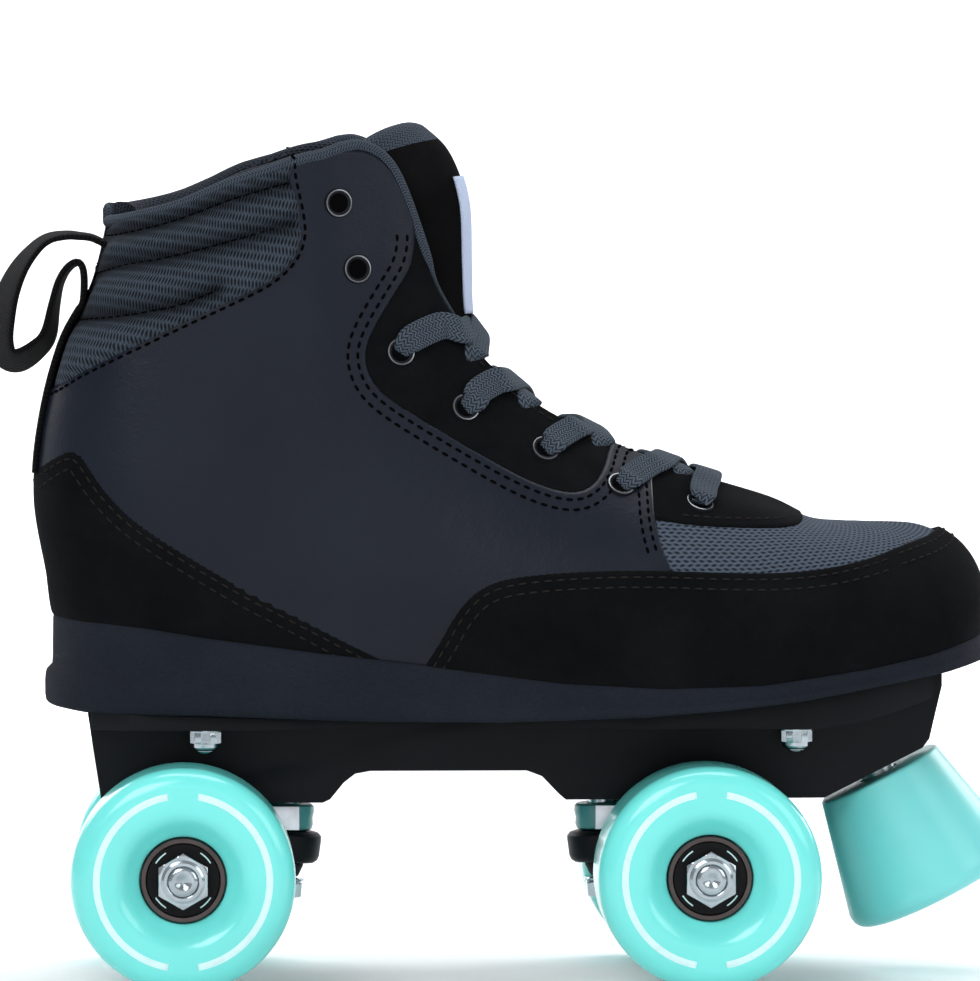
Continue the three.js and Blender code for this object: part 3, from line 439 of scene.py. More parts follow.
# ------------------------------------------------------------------ boot surface
COL = np.array([
  [[-33.2,0,92.5],[-35.1,0,106],[-38.4,0,126],[-36.9,0,146],[-31.5,0,167],[-24.2,0,182],[-19.3,0,201.5]],
  [[-26.7,18,92.2],[-28.5,18.3,106],[-31.7,18.6,126],[-30.5,17.7,146],[-25.7,16.1,167],[-18.9,15.1,182.5],[-13.7,15.4,202]],
  [[-12.1,28.6,91.3],[-13.6,29,105.5],[-16.2,29.2,126],[-15.6,27.6,146.5],[-12.7,25.4,168],[-6.4,24.3,185],[-0.3,24.5,205.3]],
  [[10,32,88.8],[9,33.3,105],[7,32,126],[7,30,147],[9,28.3,169],[12.5,28,189],[16,28.7,212.3]],
  [[32,33.2,86],[31,34.6,103],[29.5,32.5,124],[29.5,30,146],[31,27.6,170],[33.5,27,193],[36,26.8,217.2]],
  [[52,34.6,83.8],[51,35.8,101],[48.5,33.3,121],[47,29.6,144],[48,25.2,168],[51,22,190],[53.5,19.5,213]],
  [[69,36.2,81.6],[68,37.6,97],[66.5,35.3,114.5],[65,30.6,134],[65,25.3,153],[66,20,168.5],[68,15.5,178]],
  [[88,39,79.2],[88,40.5,92.5],[87,38.5,108],[86,33.5,123.5],[85.5,27,138],[85.5,20.5,149],[86,14.5,156]],
  [[110,42.5,77.9],[110,44,89.5],[109.5,42,102.5],[109,37,115],[108.5,30,127],[108.5,22.5,135.8],[109,13.5,142.2]],
  [[134,44.8,78],[134,46.3,88],[133.5,44.5,99.5],[133,39.5,110.5],[132.5,32,120],[132.5,23,127.3],[133,12.5,132.8]],
  [[157,44,80.5],[157,45.6,90],[156.5,43.6,100.5],[155.5,38,110],[154.5,29.6,117.5],[154.3,18.5,122.5],[155,0,126]],
  [[178,39,84],[178.5,40.4,93],[177.5,38.4,102],[175.3,32.6,110],[172.3,24.2,115.8],[169,13,119.3],[166,0,121]],
  [[196.5,29.5,87.3],[197.5,30.6,95.5],[196.3,28.6,103.5],[193.2,23.4,110.8],[188.3,16.4,115.8],[182,8.4,119],[175,0,120]],
  [[206.8,16.5,89.5],[208.3,17,97],[207,15.8,104.3],[203.8,12.8,111],[198.3,9,115.7],[190,4.6,119],[178.5,0,119.9]],
  [[209.9,0,90.3],[211.8,0,97],[210.9,0,104.5],[207.5,0,111.2],[202,0,116],[194,0,119.2],[180,0,119.8]],
])
ST = np.array([[-40,98],[-33,96.5],[5,90.3],[36,86.2],[64,83.1],[98,78.8],[124,77.4],[150,78.1],[178,82],[194,85.1],[207,89],[216,91.8]])
SB = np.array([[-40,73.6],[-36,72.9],[-31,71.8],[-24,70.9],[5,70.5],[50,69],[83,69],[119,70.4],[140,72.1],[160,74.4],[181,78],[198,80.9],[216,85.4]])
ztop = lambda x: np.interp(x, ST[:, 0], ST[:, 1])
zbot = lambda x: np.interp(x, SB[:, 0], SB[:, 1])
def centre(x):
    u = np.clip((np.asarray(x) - 70) / 140, 0, 1)
    return 4.5 * u * u * (3 - 2 * u)
NC = len(COL) - 1
EXT = np.concatenate([[2 * COL[:, 0] - COL[:, 1]], COL.transpose(1, 0, 2), [2 * COL[:, 6] - COL[:, 5]]]).transpose(1, 0, 2)
def crw(u):
    return np.stack([0.5 * (-u + 2 * u ** 2 - u ** 3), 0.5 * (2 - 5 * u ** 2 + 3 * u ** 3),
                     0.5 * (u + 4 * u ** 2 - 3 * u ** 3), 0.5 * (-u ** 2 + u ** 3)])
def Praw(s, t):
    """s in 0..28 round the boot (0 heel, 14 toe), t in levels; returns design mm and lateral-equivalent X,Z"""
    s = np.mod(np.asarray(s, float), 2 * NC); t = np.asarray(t, float)
    s, t = np.broadcast_arrays(s, t)
    side = np.where(s <= NC, -1.0, 1.0)
    q = np.where(s <= NC, s, 2 * NC - s)
    j = np.clip(np.floor(q).astype(int), 0, NC - 1); u = q - j
    k = np.clip(np.floor(t).astype(int), 0, 5); w = t - k
    cu, cw = crw(u), crw(w)
    out = np.zeros(s.shape + (3,))
    for a in range(4):
        i = j - 1 + a
        m = np.where((i < 0) | (i > NC), -1.0, 1.0)
        i = np.where(i < 0, -i, i); i = np.where(i > NC, 2 * NC - i, i)
        col = np.zeros(s.shape + (3,))
        for b in range(4):
            col += cw[b][..., None] * EXT[i, k + b]
        col[..., 1] *= m
        out += cu[a][..., None] * col
    f = np.clip(1 - t, 0, 1)
    f = np.where(t < 0, 1.0, f)
    zf = ztop(out[..., 0]) + np.minimum(t, 0) * 14
    zz = out[..., 2] * (1 - f) + zf * f
    out[..., 2] = np.where(t < 0, zf, zz)
    xz = np.stack([out[..., 0], out[..., 2]], -1)
    lift = 3.5 * np.clip((t - 3) / 3, 0, 1) * np.clip((6 - q) / 2, 0, 1)
    out[..., 2] += np.where(side > 0, lift, 0)
    out[..., 1] = side * out[..., 1] + centre(out[..., 0])
    return out, xz
NS, NTT = 1121, 131
S1 = np.linspace(0, 28, NS); T1 = np.linspace(-0.35, 6.0, NTT)
SG, TG = np.meshgrid(S1, T1, indexing="ij")
PG, XZG = Praw(SG, TG)
def normals(s, t):
    e = 0.03
    t = np.clip(t, -0.3, 5.94)
    a = Praw(s + e, t)[0] - Praw(s - e, t)[0]
    b = Praw(s, t + e)[0] - Praw(s, t - e)[0]
    n = np.cross(a, b)
    return n / np.maximum(np.linalg.norm(n, axis=-1, keepdims=True), 1e-9)
NG = normals(SG, TG)
LU = np.concatenate([[0], np.cumsum(np.linalg.norm(np.diff(PG[:, 60], axis=0), axis=1))])
LV = np.concatenate([np.zeros((NS, 1)), np.cumsum(np.linalg.norm(np.diff(PG, axis=1), axis=2), axis=1)], 1)
ids = lambda r: np.arange(r.size).reshape(r.shape)

def smooth_line(pts, n=8, closed=False):
    p = np.array(pts, float); out = []
    N = len(p)
    rng = range(N if closed else N - 1)
    for i in rng:
        g = (lambda k: p[k % N]) if closed else (lambda k: p[min(max(k, 0), N - 1)])
        a, b, c, d = g(i - 1), g(i), g(i + 1), g(i + 2)
        for u in np.linspace(0, 1, n, endpoint=False):
            w = crw(np.array(u)); out.append(w[0] * a + w[1] * b + w[2] * c + w[3] * d)
    if not closed: out.append(p[-1])
    return np.array(out)
def resample(p, step):
    L = np.concatenate([[0], np.cumsum(np.linalg.norm(np.diff(p, axis=0), axis=1))])
    n = max(2, int(round(L[-1] / step)) + 1)
    q = np.linspace(0, L[-1], n)
    return np.stack([np.interp(q, L, p[:, k]) for k in range(p.shape[1])], 1)
def sdist(xz, poly):
    """signed distance, positive inside the closed polygon"""
    x, z = xz[..., 0], xz[..., 1]
    best = np.full(x.shape, 1e9); inside = np.zeros(x.shape, bool)
    P = np.asarray(poly); Q = np.roll(P, -1, axis=0)
    for (ax, az), (bx, bz) in zip(P, Q):
        dx, dz = bx - ax, bz - az
        L = dx * dx + dz * dz
        if L < 1e-12: continue
        h = np.clip(((x - ax) * dx + (z - az) * dz) / L, 0, 1)
        best = np.minimum(best, (x - ax - h * dx) ** 2 + (z - az - h * dz) ** 2)
        c = ((az > z) != (bz > z))
        with np.errstate(divide="ignore", invalid="ignore"):
            xi = ax + (z - az) * dx / (dz if dz != 0 else 1e-12)
        inside ^= c & (x < xi)
    d = np.sqrt(best)
    return np.where(inside, d, -d)

# region outlines in the side view, X and Z
TOEG = smooth_line([(60.5,80),(62.7,84.1),(66.6,90.3),(70.5,97.0),(75.6,102.6),(82.1,105.8),(92.5,107.4),(108,108.2),(123.6,108.2),(139.1,107.6),(154.7,107.4),(167.6,108.4),(179.1,110.6),(188.2,113.4),(196,115.6),(199.6,117.2)], 6)
TOEG_POLY = np.concatenate([TOEG, [(197.5,121),(203,130),(230,130),(230,60),(58,60)]])
HEELC = smooth_line([(-46,128),(-41,131.5),(-38.2,134),(-33.3,137.4),(-29.4,139.2),(-26.0,138.4),(-23.4,134.8),(-19.6,129.3),(-13.2,122.6),(-5,116.6),(5.4,110.2),(17.8,103),(30.8,96.3),(43.8,89.6),(53,85.2),(61,82)], 6)
HEEL_POLY = np.concatenate([HEELC, [(66,60),(-70,60),(-70,128)]])
QTOP = smooth_line([(-52,147),(-44,150.5),(-38,153.6),(-32.8,156.3),(-26.8,160.0),(-19,164.1),(-8.6,169.3),(1.8,174.3),(12.2,179.2),(21.2,183.8),(27.0,188.8),(29.6,194.5),(29.2,201),(27.6,208.3),(27.0,213.5),(27.0,232)], 6)
COLLAR_POLY = np.concatenate([QTOP, [(27,250),(-90,250),(-90,140)]])
EYEIN = smooth_line([(60.6,196),(60.4,191.3),(58.9,186.0),(55.2,179.8),(50.8,172.4),(48.2,166.7),(47.9,162.0),(50.2,156.6),(55.6,151.8),(64.3,146.2),(74.8,139.9),(85.2,134.0),(94.3,129.9),(101.6,128.4),(106.4,130.2),(109.4,134.3),(111.4,139.2),(114.5,144.5)], 6)
EYE_POLY = np.concatenate([EYEIN, [(130,170),(95,215),(62,230)]])
QFRONT = smooth_line([(124.5,146),(123.2,139),(122.9,132.9),(122.9,126.3),(123.1,121.1),(124.3,114.6),(126.4,108.6),(129,98)], 6)
QUARTER_POLY = np.concatenate([QFRONT, [(132,60),(-90,60),(-90,300),(124.5,300)]])
FRONTS = np.array([(118,133.6),(123.8,131.4),(135,128.0),(150.5,124.8),(158.6,122.6),(161.4,120.6),(158.6,119.3),(150,118.8),(135.3,119.2),(123.5,120.9),(112,124),(104,131),(108,160),(165,150),(166,121)])
FRONT_LOW = smooth_line([(112,124),(123.5,121.0),(135.3,119.4),(150,118.7),(158.6,118.9),(162.6,120.0),(164.5,122.6),(164,127)], 6)
FRONT_POLY = np.concatenate([FRONT_LOW, [(166,150),(104,160),(104,131)]])

def panel(name, mat, d, height, edge, tmax=6.0, smin=None, attr=True, extra=None, thick=0.9, keep_s=None, painted_seam_shade=None):
    """raised panel: d is a signed distance on the grid (mm, positive inside)"""
    ds = np.gradient(d, axis=0); dt = np.gradient(d, axis=1)
    inside = d > 0
    near = np.zeros_like(inside)
    for a in (-1, 0, 1):
        for b in (-1, 0, 1):
            near |= np.roll(np.roll(inside, a, 0), b, 1)
    snap = near & ~inside
    g2 = np.maximum(ds ** 2 + dt ** 2, 1e-6)
    sh_s = np.clip(-d * ds / g2, -1.3, 1.3) * snap; sh_t = np.clip(-d * dt / g2, -1.3, 1.3) * snap
    s = SG + sh_s * (S1[1] - S1[0]); t = np.clip(TG + sh_t * (T1[1] - T1[0]), -0.35, 6.0)
    P, _ = Praw(s, t); N = NG
    dd = np.where(snap, 0, np.maximum(d, 0))
    x = np.clip(dd / edge, 0, 1)
    h = -0.35 + (height + 0.35) * np.sqrt(np.clip(1 - (1 - x) ** 2, 0, 1))
    if extra is not None: h = h + extra * np.clip(dd / 2.0, 0, 1)
    P = P + N * h[..., None]
    ok = inside | snap
    if keep_s is not None: ok &= keep_s
    f = ok[:-1, :-1] & ok[1:, :-1] & ok[1:, 1:] & ok[:-1, 1:]
    f &= (inside[:-1, :-1] | inside[1:, :-1] | inside[1:, 1:] | inside[:-1, 1:])
    ii, jj = np.nonzero(f)
    I = ids(d)
    i2 = ii + 1
    faces = np.stack([I[ii, jj], I[i2, jj], I[i2, jj + 1], I[ii, jj + 1]], 1)
    used = np.unique(faces); remap = np.full(I.size, -1); remap[used] = np.arange(len(used))
    at = np.stack([np.broadcast_to(LU[:, None], d.shape), LV], -1).reshape(-1, 2)[used]
    # third attribute column: the painted shade factor, lowest on the quilting seams
    if painted_seam_shade is not None: at = np.concatenate([at, painted_seam_shade.reshape(-1, 1)[used]], 1)
    o = obj_from(name, P.reshape(-1, 3)[used], remap[faces], mat, attr=at)
    bm = bmesh.new(); bm.from_mesh(o.data)
    bmesh.ops.remove_doubles(bm, verts=bm.verts, dist=2e-6)
    bm.to_mesh(o.data); bm.free()
    if thick:
        md = o.modifiers.new("thickness", "SOLIDIFY"); md.thickness = thick / 1000; md.offset = -1
    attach(o, BODY)
    return o

def region(poly):
    return sdist(XZG, poly)

# ------------------------------------------------------------------ upper: panels
dQ = region(QUARTER_POLY); dC = region(COLLAR_POLY); dH = region(HEEL_POLY)
dE = region(EYE_POLY); dT = region(TOEG_POLY); dF = region(FRONT_POLY)
QQ = np.where(SG <= 14, SG, 28 - SG)
front_q = QQ
# keep side-view tests on the walls: the collar region is never met at the toe
TOPT = np.interp(QQ, [0, 3.4, 4.3, 6], [5.87, 5.87, 5.97, 6.0])
quarter = panel("quarter_leather", M["leather"], np.where(front_q > 9.6, -9.0, np.minimum(np.minimum(dQ, -dC), np.where(front_q > 4.3, np.minimum(-dE, (TOPT - TG) * 22 + 1.2), (TOPT - TG) * 22 + 1.2))), 0.95, 0.9)
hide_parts("lateral_quarter", "medial_quarter")
vamp = panel("vamp_mesh", M["toemesh"], np.where(front_q < 7.0, -9.0, np.maximum(-dQ, 0) + 4.0), 0.0, 0.6)
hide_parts("vamp")
# collar: padded channels between the quilting seams; painted shade darkens the knit colour along the seams
SEAM1 = Praw(np.linspace(0, 3.75, 60), np.full(60, 5.70))[1]; SEAM1 = SEAM1[np.argsort(SEAM1[:, 0])]
SEAM2 = smooth_line([(-60,182),(-30,184.2),(-21.5,186.0),(-15.4,187.6),(-7.8,188.9),(-0.3,190.4),(7.1,192.2),(14.6,194.4),(22.2,196.6),(28.3,198.2)], 6)
SEAM3 = smooth_line([(-60,172.5),(-36,173),(-24.2,173.6),(-20.3,173.9),(-12.8,174.8),(-5.2,176.2),(0,177.4),(9,181)], 6)
def line_dist(xz, line):
    x, z = xz[..., 0], xz[..., 1]; best = np.full(x.shape, 1e9)
    for a, b in zip(line[:-1], line[1:]):
        dx, dz = b - a; L = max(dx * dx + dz * dz, 1e-12)
        h = np.clip(((x - a[0]) * dx + (z - a[1]) * dz) / L, 0, 1)
        best = np.minimum(best, (x - a[0] - h * dx) ** 2 + (z - a[1] - h * dz) ** 2)
    return np.sqrt(best)
seams = np.minimum(np.minimum(line_dist(XZG, SEAM1), line_dist(XZG, SEAM2)), line_dist(XZG, SEAM3))
puff = 4.4 * (1 - np.exp(-(seams / 2.7) ** 1.3)) * np.clip((QQ - 0.3) / 0.7, 0.0, 1) * np.clip((QQ < 5.2) * 1.0, 0, 1)
# painted shade: the colour factor falls towards the quilting seams
collar = panel("collar_padding", M["mesh"], np.where(front_q > 5.6, -9.0, np.minimum(dC + 1.6, (TOPT - TG) * 20 + 0.7)), 0.2, 1.0, extra=puff - 0.6, painted_seam_shade=1 - np.exp(-(seams / 2.4) ** 1.2))
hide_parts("collar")
heel = panel("heel_counter_suede", M["suede"], np.where(front_q > 9, -9.0, dH), 1.15, 1.0)
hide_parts("heel_counter")
toeg = panel("toe_guard_suede", M["suede"], np.where(front_q < 4.5, -9.0, dT), 1.55, 1.1)
eyestay = panel("eyestay_suede", M["suede"], np.where((front_q < 4.3) | (front_q > 10.2), -9.0, np.where(front_q > 8.9, np.minimum(dE, 9), dE) + 1.0), 0.4, 0.9)
front_low = panel("lower_eyestay_suede", M["suede"], np.where(front_q < 7.9, -9.0, np.minimum(dF, 1.2 - dQ)), 0.6, 0.8)

# inner shell: rolled top edge, then down inside to the insole
def lining():
    s = np.linspace(-10.2, 10.2, 421); s = np.mod(s, 28)
    q = np.where(s <= 14, s, 28 - s)
    Tt = 8.0 - 4.9 * np.clip((q - 3.0) / 1.8, 0, 1)       # wall thickness at the top
    Tb = np.full_like(q, 3.4)
    rows, at = [], []
    tp_ = np.interp(q, [0, 3.4, 4.3, 6], [5.87, 5.87, 5.96, 5.97]); top, _ = Praw(s, tp_); n = normals(s, np.full_like(s, 5.75))
    tdir = Praw(s, np.full_like(s, 5.97))[0] - Praw(s, np.full_like(s, 5.6))[0]
    tdir /= np.linalg.norm(tdir, axis=1, keepdims=True)
    r = Tt / 2
    for a in np.linspace(0, np.pi, 13):
        rows.append(top - n * r[:, None] + n * (r * math.cos(a))[:, None] + tdir * (r * 0.75 * math.sin(a))[:, None])
    for t in np.linspace(5.9, 0.15, 46):
        p, _ = Praw(s, np.full_like(s, t)); nn = normals(s, np.full_like(s, min(t, 5.8)))
        w = np.clip((t - 2.6) / 1.6, 0, 1); w = w * w * (3 - 2 * w)
        rows.append(p - nn * (Tb * (1 - w) + Tt * w)[:, None])
    G = np.stack(rows, 1)
    lu = np.concatenate([[0], np.cumsum(np.linalg.norm(np.diff(G[:, 20], axis=0), axis=1))])
    lv = np.concatenate([np.zeros((len(s), 1)), np.cumsum(np.linalg.norm(np.diff(G, axis=1), axis=2), axis=1)], 1)
    attr = np.stack([np.broadcast_to(lu[:, None], lv.shape), lv], -1)
    o = obj_from("boot_lining", G.reshape(-1, 3), grid_faces(*G.shape[:2]), M["lining"], attr=attr)
    md = o.modifiers.new("thickness", "SOLIDIFY"); md.thickness = 0.0005; md.offset = -1
    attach(o, BODY)
    return o
lining()

# ------------------------------------------------------------------ lines on the surface
def surf(xz, side, h=0.0, qlo=0.0, qhi=14.0):
    """side-view points to 3-D points, normals on the upper (side -1 lateral, +1 medial)"""
    xz = np.asarray(xz, float)
    sel = (S1 >= qlo) & (S1 <= qhi)
    X = XZG[sel][..., 0]; Z = XZG[sel][..., 1]; ss = SG[sel]; tt = TG[sel]
    out_s, out_t = [], []
    for x, z in xz:
        k = np.argmin((X - x) ** 2 + (Z - z) ** 2)
        out_s.append(ss.ravel()[k]); out_t.append(tt.ravel()[k])
    s = np.array(out_s); t = np.array(out_t)
    for _ in range(5):
        p = Praw(s, t)[1]; e = 0.02
        a = (Praw(s + e, t)[1] - Praw(s - e, t)[1]) / (2 * e)
        b = (Praw(s, t + e)[1] - Praw(s, t - e)[1]) / (2 * e)
        r = xz - p
        det = a[:, 0] * b[:, 1] - a[:, 1] * b[:, 0]
        det = np.where(np.abs(det) < 5, 5 * np.sign(det + 1e-9), det)
        ds = (r[:, 0] * b[:, 1] - r[:, 1] * b[:, 0]) / det
        dt = (a[:, 0] * r[:, 1] - a[:, 1] * r[:, 0]) / det
        s = np.clip(s + np.clip(ds, -0.05, 0.05), qlo, qhi); t = np.clip(t + np.clip(dt, -0.05, 0.05), -0.3, 6)
    S = s if side < 0 else 28 - s
    P, _ = Praw(S, t); N = normals(S, np.clip(t, 0, 5.85))
    return P + N * np.asarray(h).reshape(-1, 1) if np.ndim(h) else P + N * h, N
def offset_line(p, d):
    t = np.gradient(p, axis=0); t /= np.maximum(np.linalg.norm(t, axis=1, keepdims=True), 1e-9)
    return p + np.stack([-t[:, 1], t[:, 0]], 1) * d

STV, STF = {"thread": [], "thread2": []}, {"thread": [], "thread2": []}
def add_dash(key, p, d, n, length, rad):
    """one stitch: a short pill that dips at both ends"""
    V_, F_ = STV[key], STF[key]
    b = np.cross(n, d); b /= np.linalg.norm(b)
    prof = [(-0.5, 0.25, -0.7), (-0.36, 0.9, 0.0), (0.0, 1.05, 0.25), (0.36, 0.9, 0.0), (0.5, 0.25, -0.7)]
    base = len(V_)
    for (u, r, z) in prof:
        for k in range(6):
            a = 2 * math.pi * k / 6
            V_.append(p + d * (u * length) + b * (math.cos(a) * rad * r) + n * (math.sin(a) * rad * r + z * rad))
    for i in range(4):
        for k in range(6):
            k2 = (k + 1) % 6
            F_.append((base + i * 6 + k, base + i * 6 + k2, base + (i + 1) * 6 + k2, base + (i + 1) * 6 + k))
    F_.append(tuple(base + k for k in range(5, -1, -1))); F_.append(tuple(base + 24 + k for k in range(6)))
def stitch_xz(line, h, pitch=3.3, dash=2.2, rad=0.26, key="thread", qlo=0.0, qhi=14.0, sides=(-1, 1)):
    line = resample(np.asarray(line), 1.2)
    for sd in sides:
        P, N = surf(line, sd, h, qlo, qhi)
        stitch3(P, N, pitch, dash, rad, key)
def stitch3(P, N, pitch, dash, rad, key):
    L = np.concatenate([[0], np.cumsum(np.linalg.norm(np.diff(P, axis=0), axis=1))])
    n = int(L[-1] / pitch)
    for i in range(n):
        m = (i + 0.5) * pitch
        q = lambda x: np.array([np.interp(x, L, P[:, k]) for k in range(3)])
        a, c = q(m - dash / 2), q(m + dash / 2); d = c - a; dl = np.linalg.norm(d)
        if dl < dash * 0.6 or dl > dash * 1.4: continue
        nn = np.array([np.interp(m, L, N[:, k]) for k in range(3)]); nn /= np.linalg.norm(nn)
        add_dash(key, (a + c) / 2, d / dl, nn, dash, rad)
H1 = 1.62
for off in (-2.2, -4.7):
    ln = offset_line(TOEG, off)[2:-1]; ln = ln[ln[:, 0] < 186]
    stitch_xz(ln, H1, qlo=4.5)
    ss_, tt_ = [], []
    for k in np.nonzero((S1 > 10.5) & (S1 < 17.5))[0]:
        col = dT[k]; j = np.nonzero(col > -off)[0]
        if len(j) == 0 or j[-1] + 1 >= NTT: continue
        j = j[-1]; w = (col[j] + off) / max(col[j] - col[j + 1], 1e-6)
        tv = T1[j] + np.clip(w, 0, 1) * (T1[1] - T1[0])
        if Praw(S1[k], tv)[1][0] > 186.5: ss_.append(S1[k]); tt_.append(tv)
    tt_ = np.convolve(np.pad(tt_, 6, mode="edge"), np.ones(13) / 13, "valid"); ss_ = np.array(ss_)
    Pf, _ = Praw(ss_, tt_); Nf = normals(ss_, tt_)
    stitch3(Pf + Nf * H1, Nf, 3.3, 2.2, 0.26, "thread")
for off in (-2.2, -4.7):
    stitch_xz(offset_line(HEELC, off)[8:-4], 1.2, qhi=8.5)
for off in (-2.4, -5.0):
    stitch_xz(offset_line(EYEIN, off), 0.98, pitch=2.9, dash=2.0, rad=0.37, key="thread2", qlo=4.0, qhi=9.5)
for off in (2.0,):
    stitch_xz(offset_line(QTOP, -off)[14:], 0.98, pitch=2.7, dash=1.9, rad=0.37, key="thread2", qhi=4.4)
for off in (2.0, 4.2):
    stitch_xz(offset_line(QFRONT, -off)[10:34], 0.98, pitch=2.9, dash=2.0, rad=0.37, key="thread2", qlo=7, qhi=10.5)
stitch_xz(offset_line(FRONT_LOW, 2.0)[9:30], 0.66, pitch=2.9, dash=2.0, rad=0.25, key="thread", qlo=8, qhi=11)
for ln in (SEAM1, SEAM2, SEAM3):
    stitch_xz(ln, -0.1, pitch=2.6, dash=1.9, rad=0.22, key="thread2", qhi=4.2)
# throat edge rows on the eyestay
for off in (1.9,):
    sA = np.linspace(6.25, 8.0, 60)
    for sd in (-1, 1):
        S = sA if sd < 0 else 28 - sA
        P, _ = Praw(S, np.full_like(S, 5.72)); N = normals(S, np.full_like(S, 5.6))
        stitch3(P + N * 0.46, N, 2.9, 2.0, 0.25, "thread")
for key in STV:
    if STV[key]:
        o = obj_from("stitching_" + key, np.array(STV[key]), STF[key], M[key]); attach(o, BODY)

# ------------------------------------------------------------------ tubes and ribbons
def tube(name, path, rad, mat, k=10, normal=None, cap=True, squash_n=1.0):
    p = np.asarray(path, float)
    t = np.gradient(p, axis=0); t /= np.maximum(np.linalg.norm(t, axis=1, keepdims=True), 1e-9)
    if normal is None:
        up = np.tile(np.array([0, 0, 1.0]), (len(p), 1))
    else: up = np.asarray(normal, float)
    up = up - t * np.sum(up * t, 1, keepdims=True); up /= np.maximum(np.linalg.norm(up, axis=1, keepdims=True), 1e-9)
    sd = np.cross(t, up)
    th = np.linspace(0, 2 * np.pi, k, endpoint=False)
    r = np.broadcast_to(np.asarray(rad, float), (len(p),))
    G = p[:, None] + sd[:, None] * (np.cos(th)[None, :, None] * r[:, None, None]) + up[:, None] * (np.sin(th)[None, :, None] * r[:, None, None] * squash_n)
    L = np.concatenate([[0], np.cumsum(np.linalg.norm(np.diff(p, axis=0), axis=1))])
    at = np.stack([np.broadcast_to(L[:, None], (len(p), k)), np.broadcast_to((th * 1.2)[None], (len(p), k))], -1)
    f = grid_faces(len(p), k, wrap_v=True)
    if cap: f += [tuple(range(k))[::-1], tuple((len(p) - 1) * k + i for i in range(k))]
    o = obj_from(name, G.reshape(-1, 3), f, mat, attr=at); fixnormals(o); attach(o, BODY)
    return o
def ribbon(name, path, normal, width, thick, mat, k=28, body=BODY, bulge=0.0):
    """flat strap with rounded edges"""
    p = np.asarray(path, float); n = np.asarray(normal, float)
    t = np.gradient(p, axis=0); t /= np.maximum(np.linalg.norm(t, axis=1, keepdims=True), 1e-9)
    n = n - t * np.sum(n * t, 1, keepdims=True); n /= np.maximum(np.linalg.norm(n, axis=1, keepdims=True), 1e-9)
    sd = np.cross(t, n)
    W = np.broadcast_to(np.asarray(width, float), (len(p),)) / 2
    th = np.linspace(0, 2 * np.pi, k, endpoint=False)
    e = 0.35
    cx = np.sign(np.cos(th)) * np.abs(np.cos(th)) ** e
    cz = np.sign(np.sin(th)) * np.abs(np.sin(th)) ** 0.6
    G = p[:, None] + sd[:, None] * (cx[None, :, None] * W[:, None, None]) + n[:, None] * ((cz * thick / 2)[None, :, None] + bulge * (1 - cx[None, :, None] ** 2))
    L = np.concatenate([[0], np.cumsum(np.linalg.norm(np.diff(p, axis=0), axis=1))])
    at = np.stack([np.broadcast_to(L[:, None], (len(p), k)), cx[None] * W[:, None]], -1)
    f = grid_faces(len(p), k, wrap_v=True) + [tuple(range(k))[::-1], tuple((len(p) - 1) * k + i for i in range(k))]
    o = obj_from(name, G.reshape(-1, 3), f, mat, attr=at); fixnormals(o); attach(o, body)
    return o

# piping round the collar's front edge and along the top
sE = np.linspace(0.0, 6.5, 230); tE = np.interp(sE, [0, 3.4, 4.3, 6], [5.88, 5.88, 5.97, 5.98])
for sd in (-1, 1):
    S = sE if sd < 0 else 28 - sE
    P, _ = Praw(S, tE); N = normals(S, np.full_like(S, 5.6))
    T_ = P - Praw(S, np.full_like(S, 5.6))[0]; T_ /= np.linalg.norm(T_, axis=1, keepdims=True)
    tube("edge_binding_%s" % ("outer" if sd < 0 else "inner"), P - N * 0.4 + T_ * (0.2 + 1.7 * np.clip((sE - 4.0) / 0.5, 0, 1))[:, None], 0.5 + 1.2 / (1 + np.exp((sE - 5.78) / 0.035)), M["binding"], 14, N)

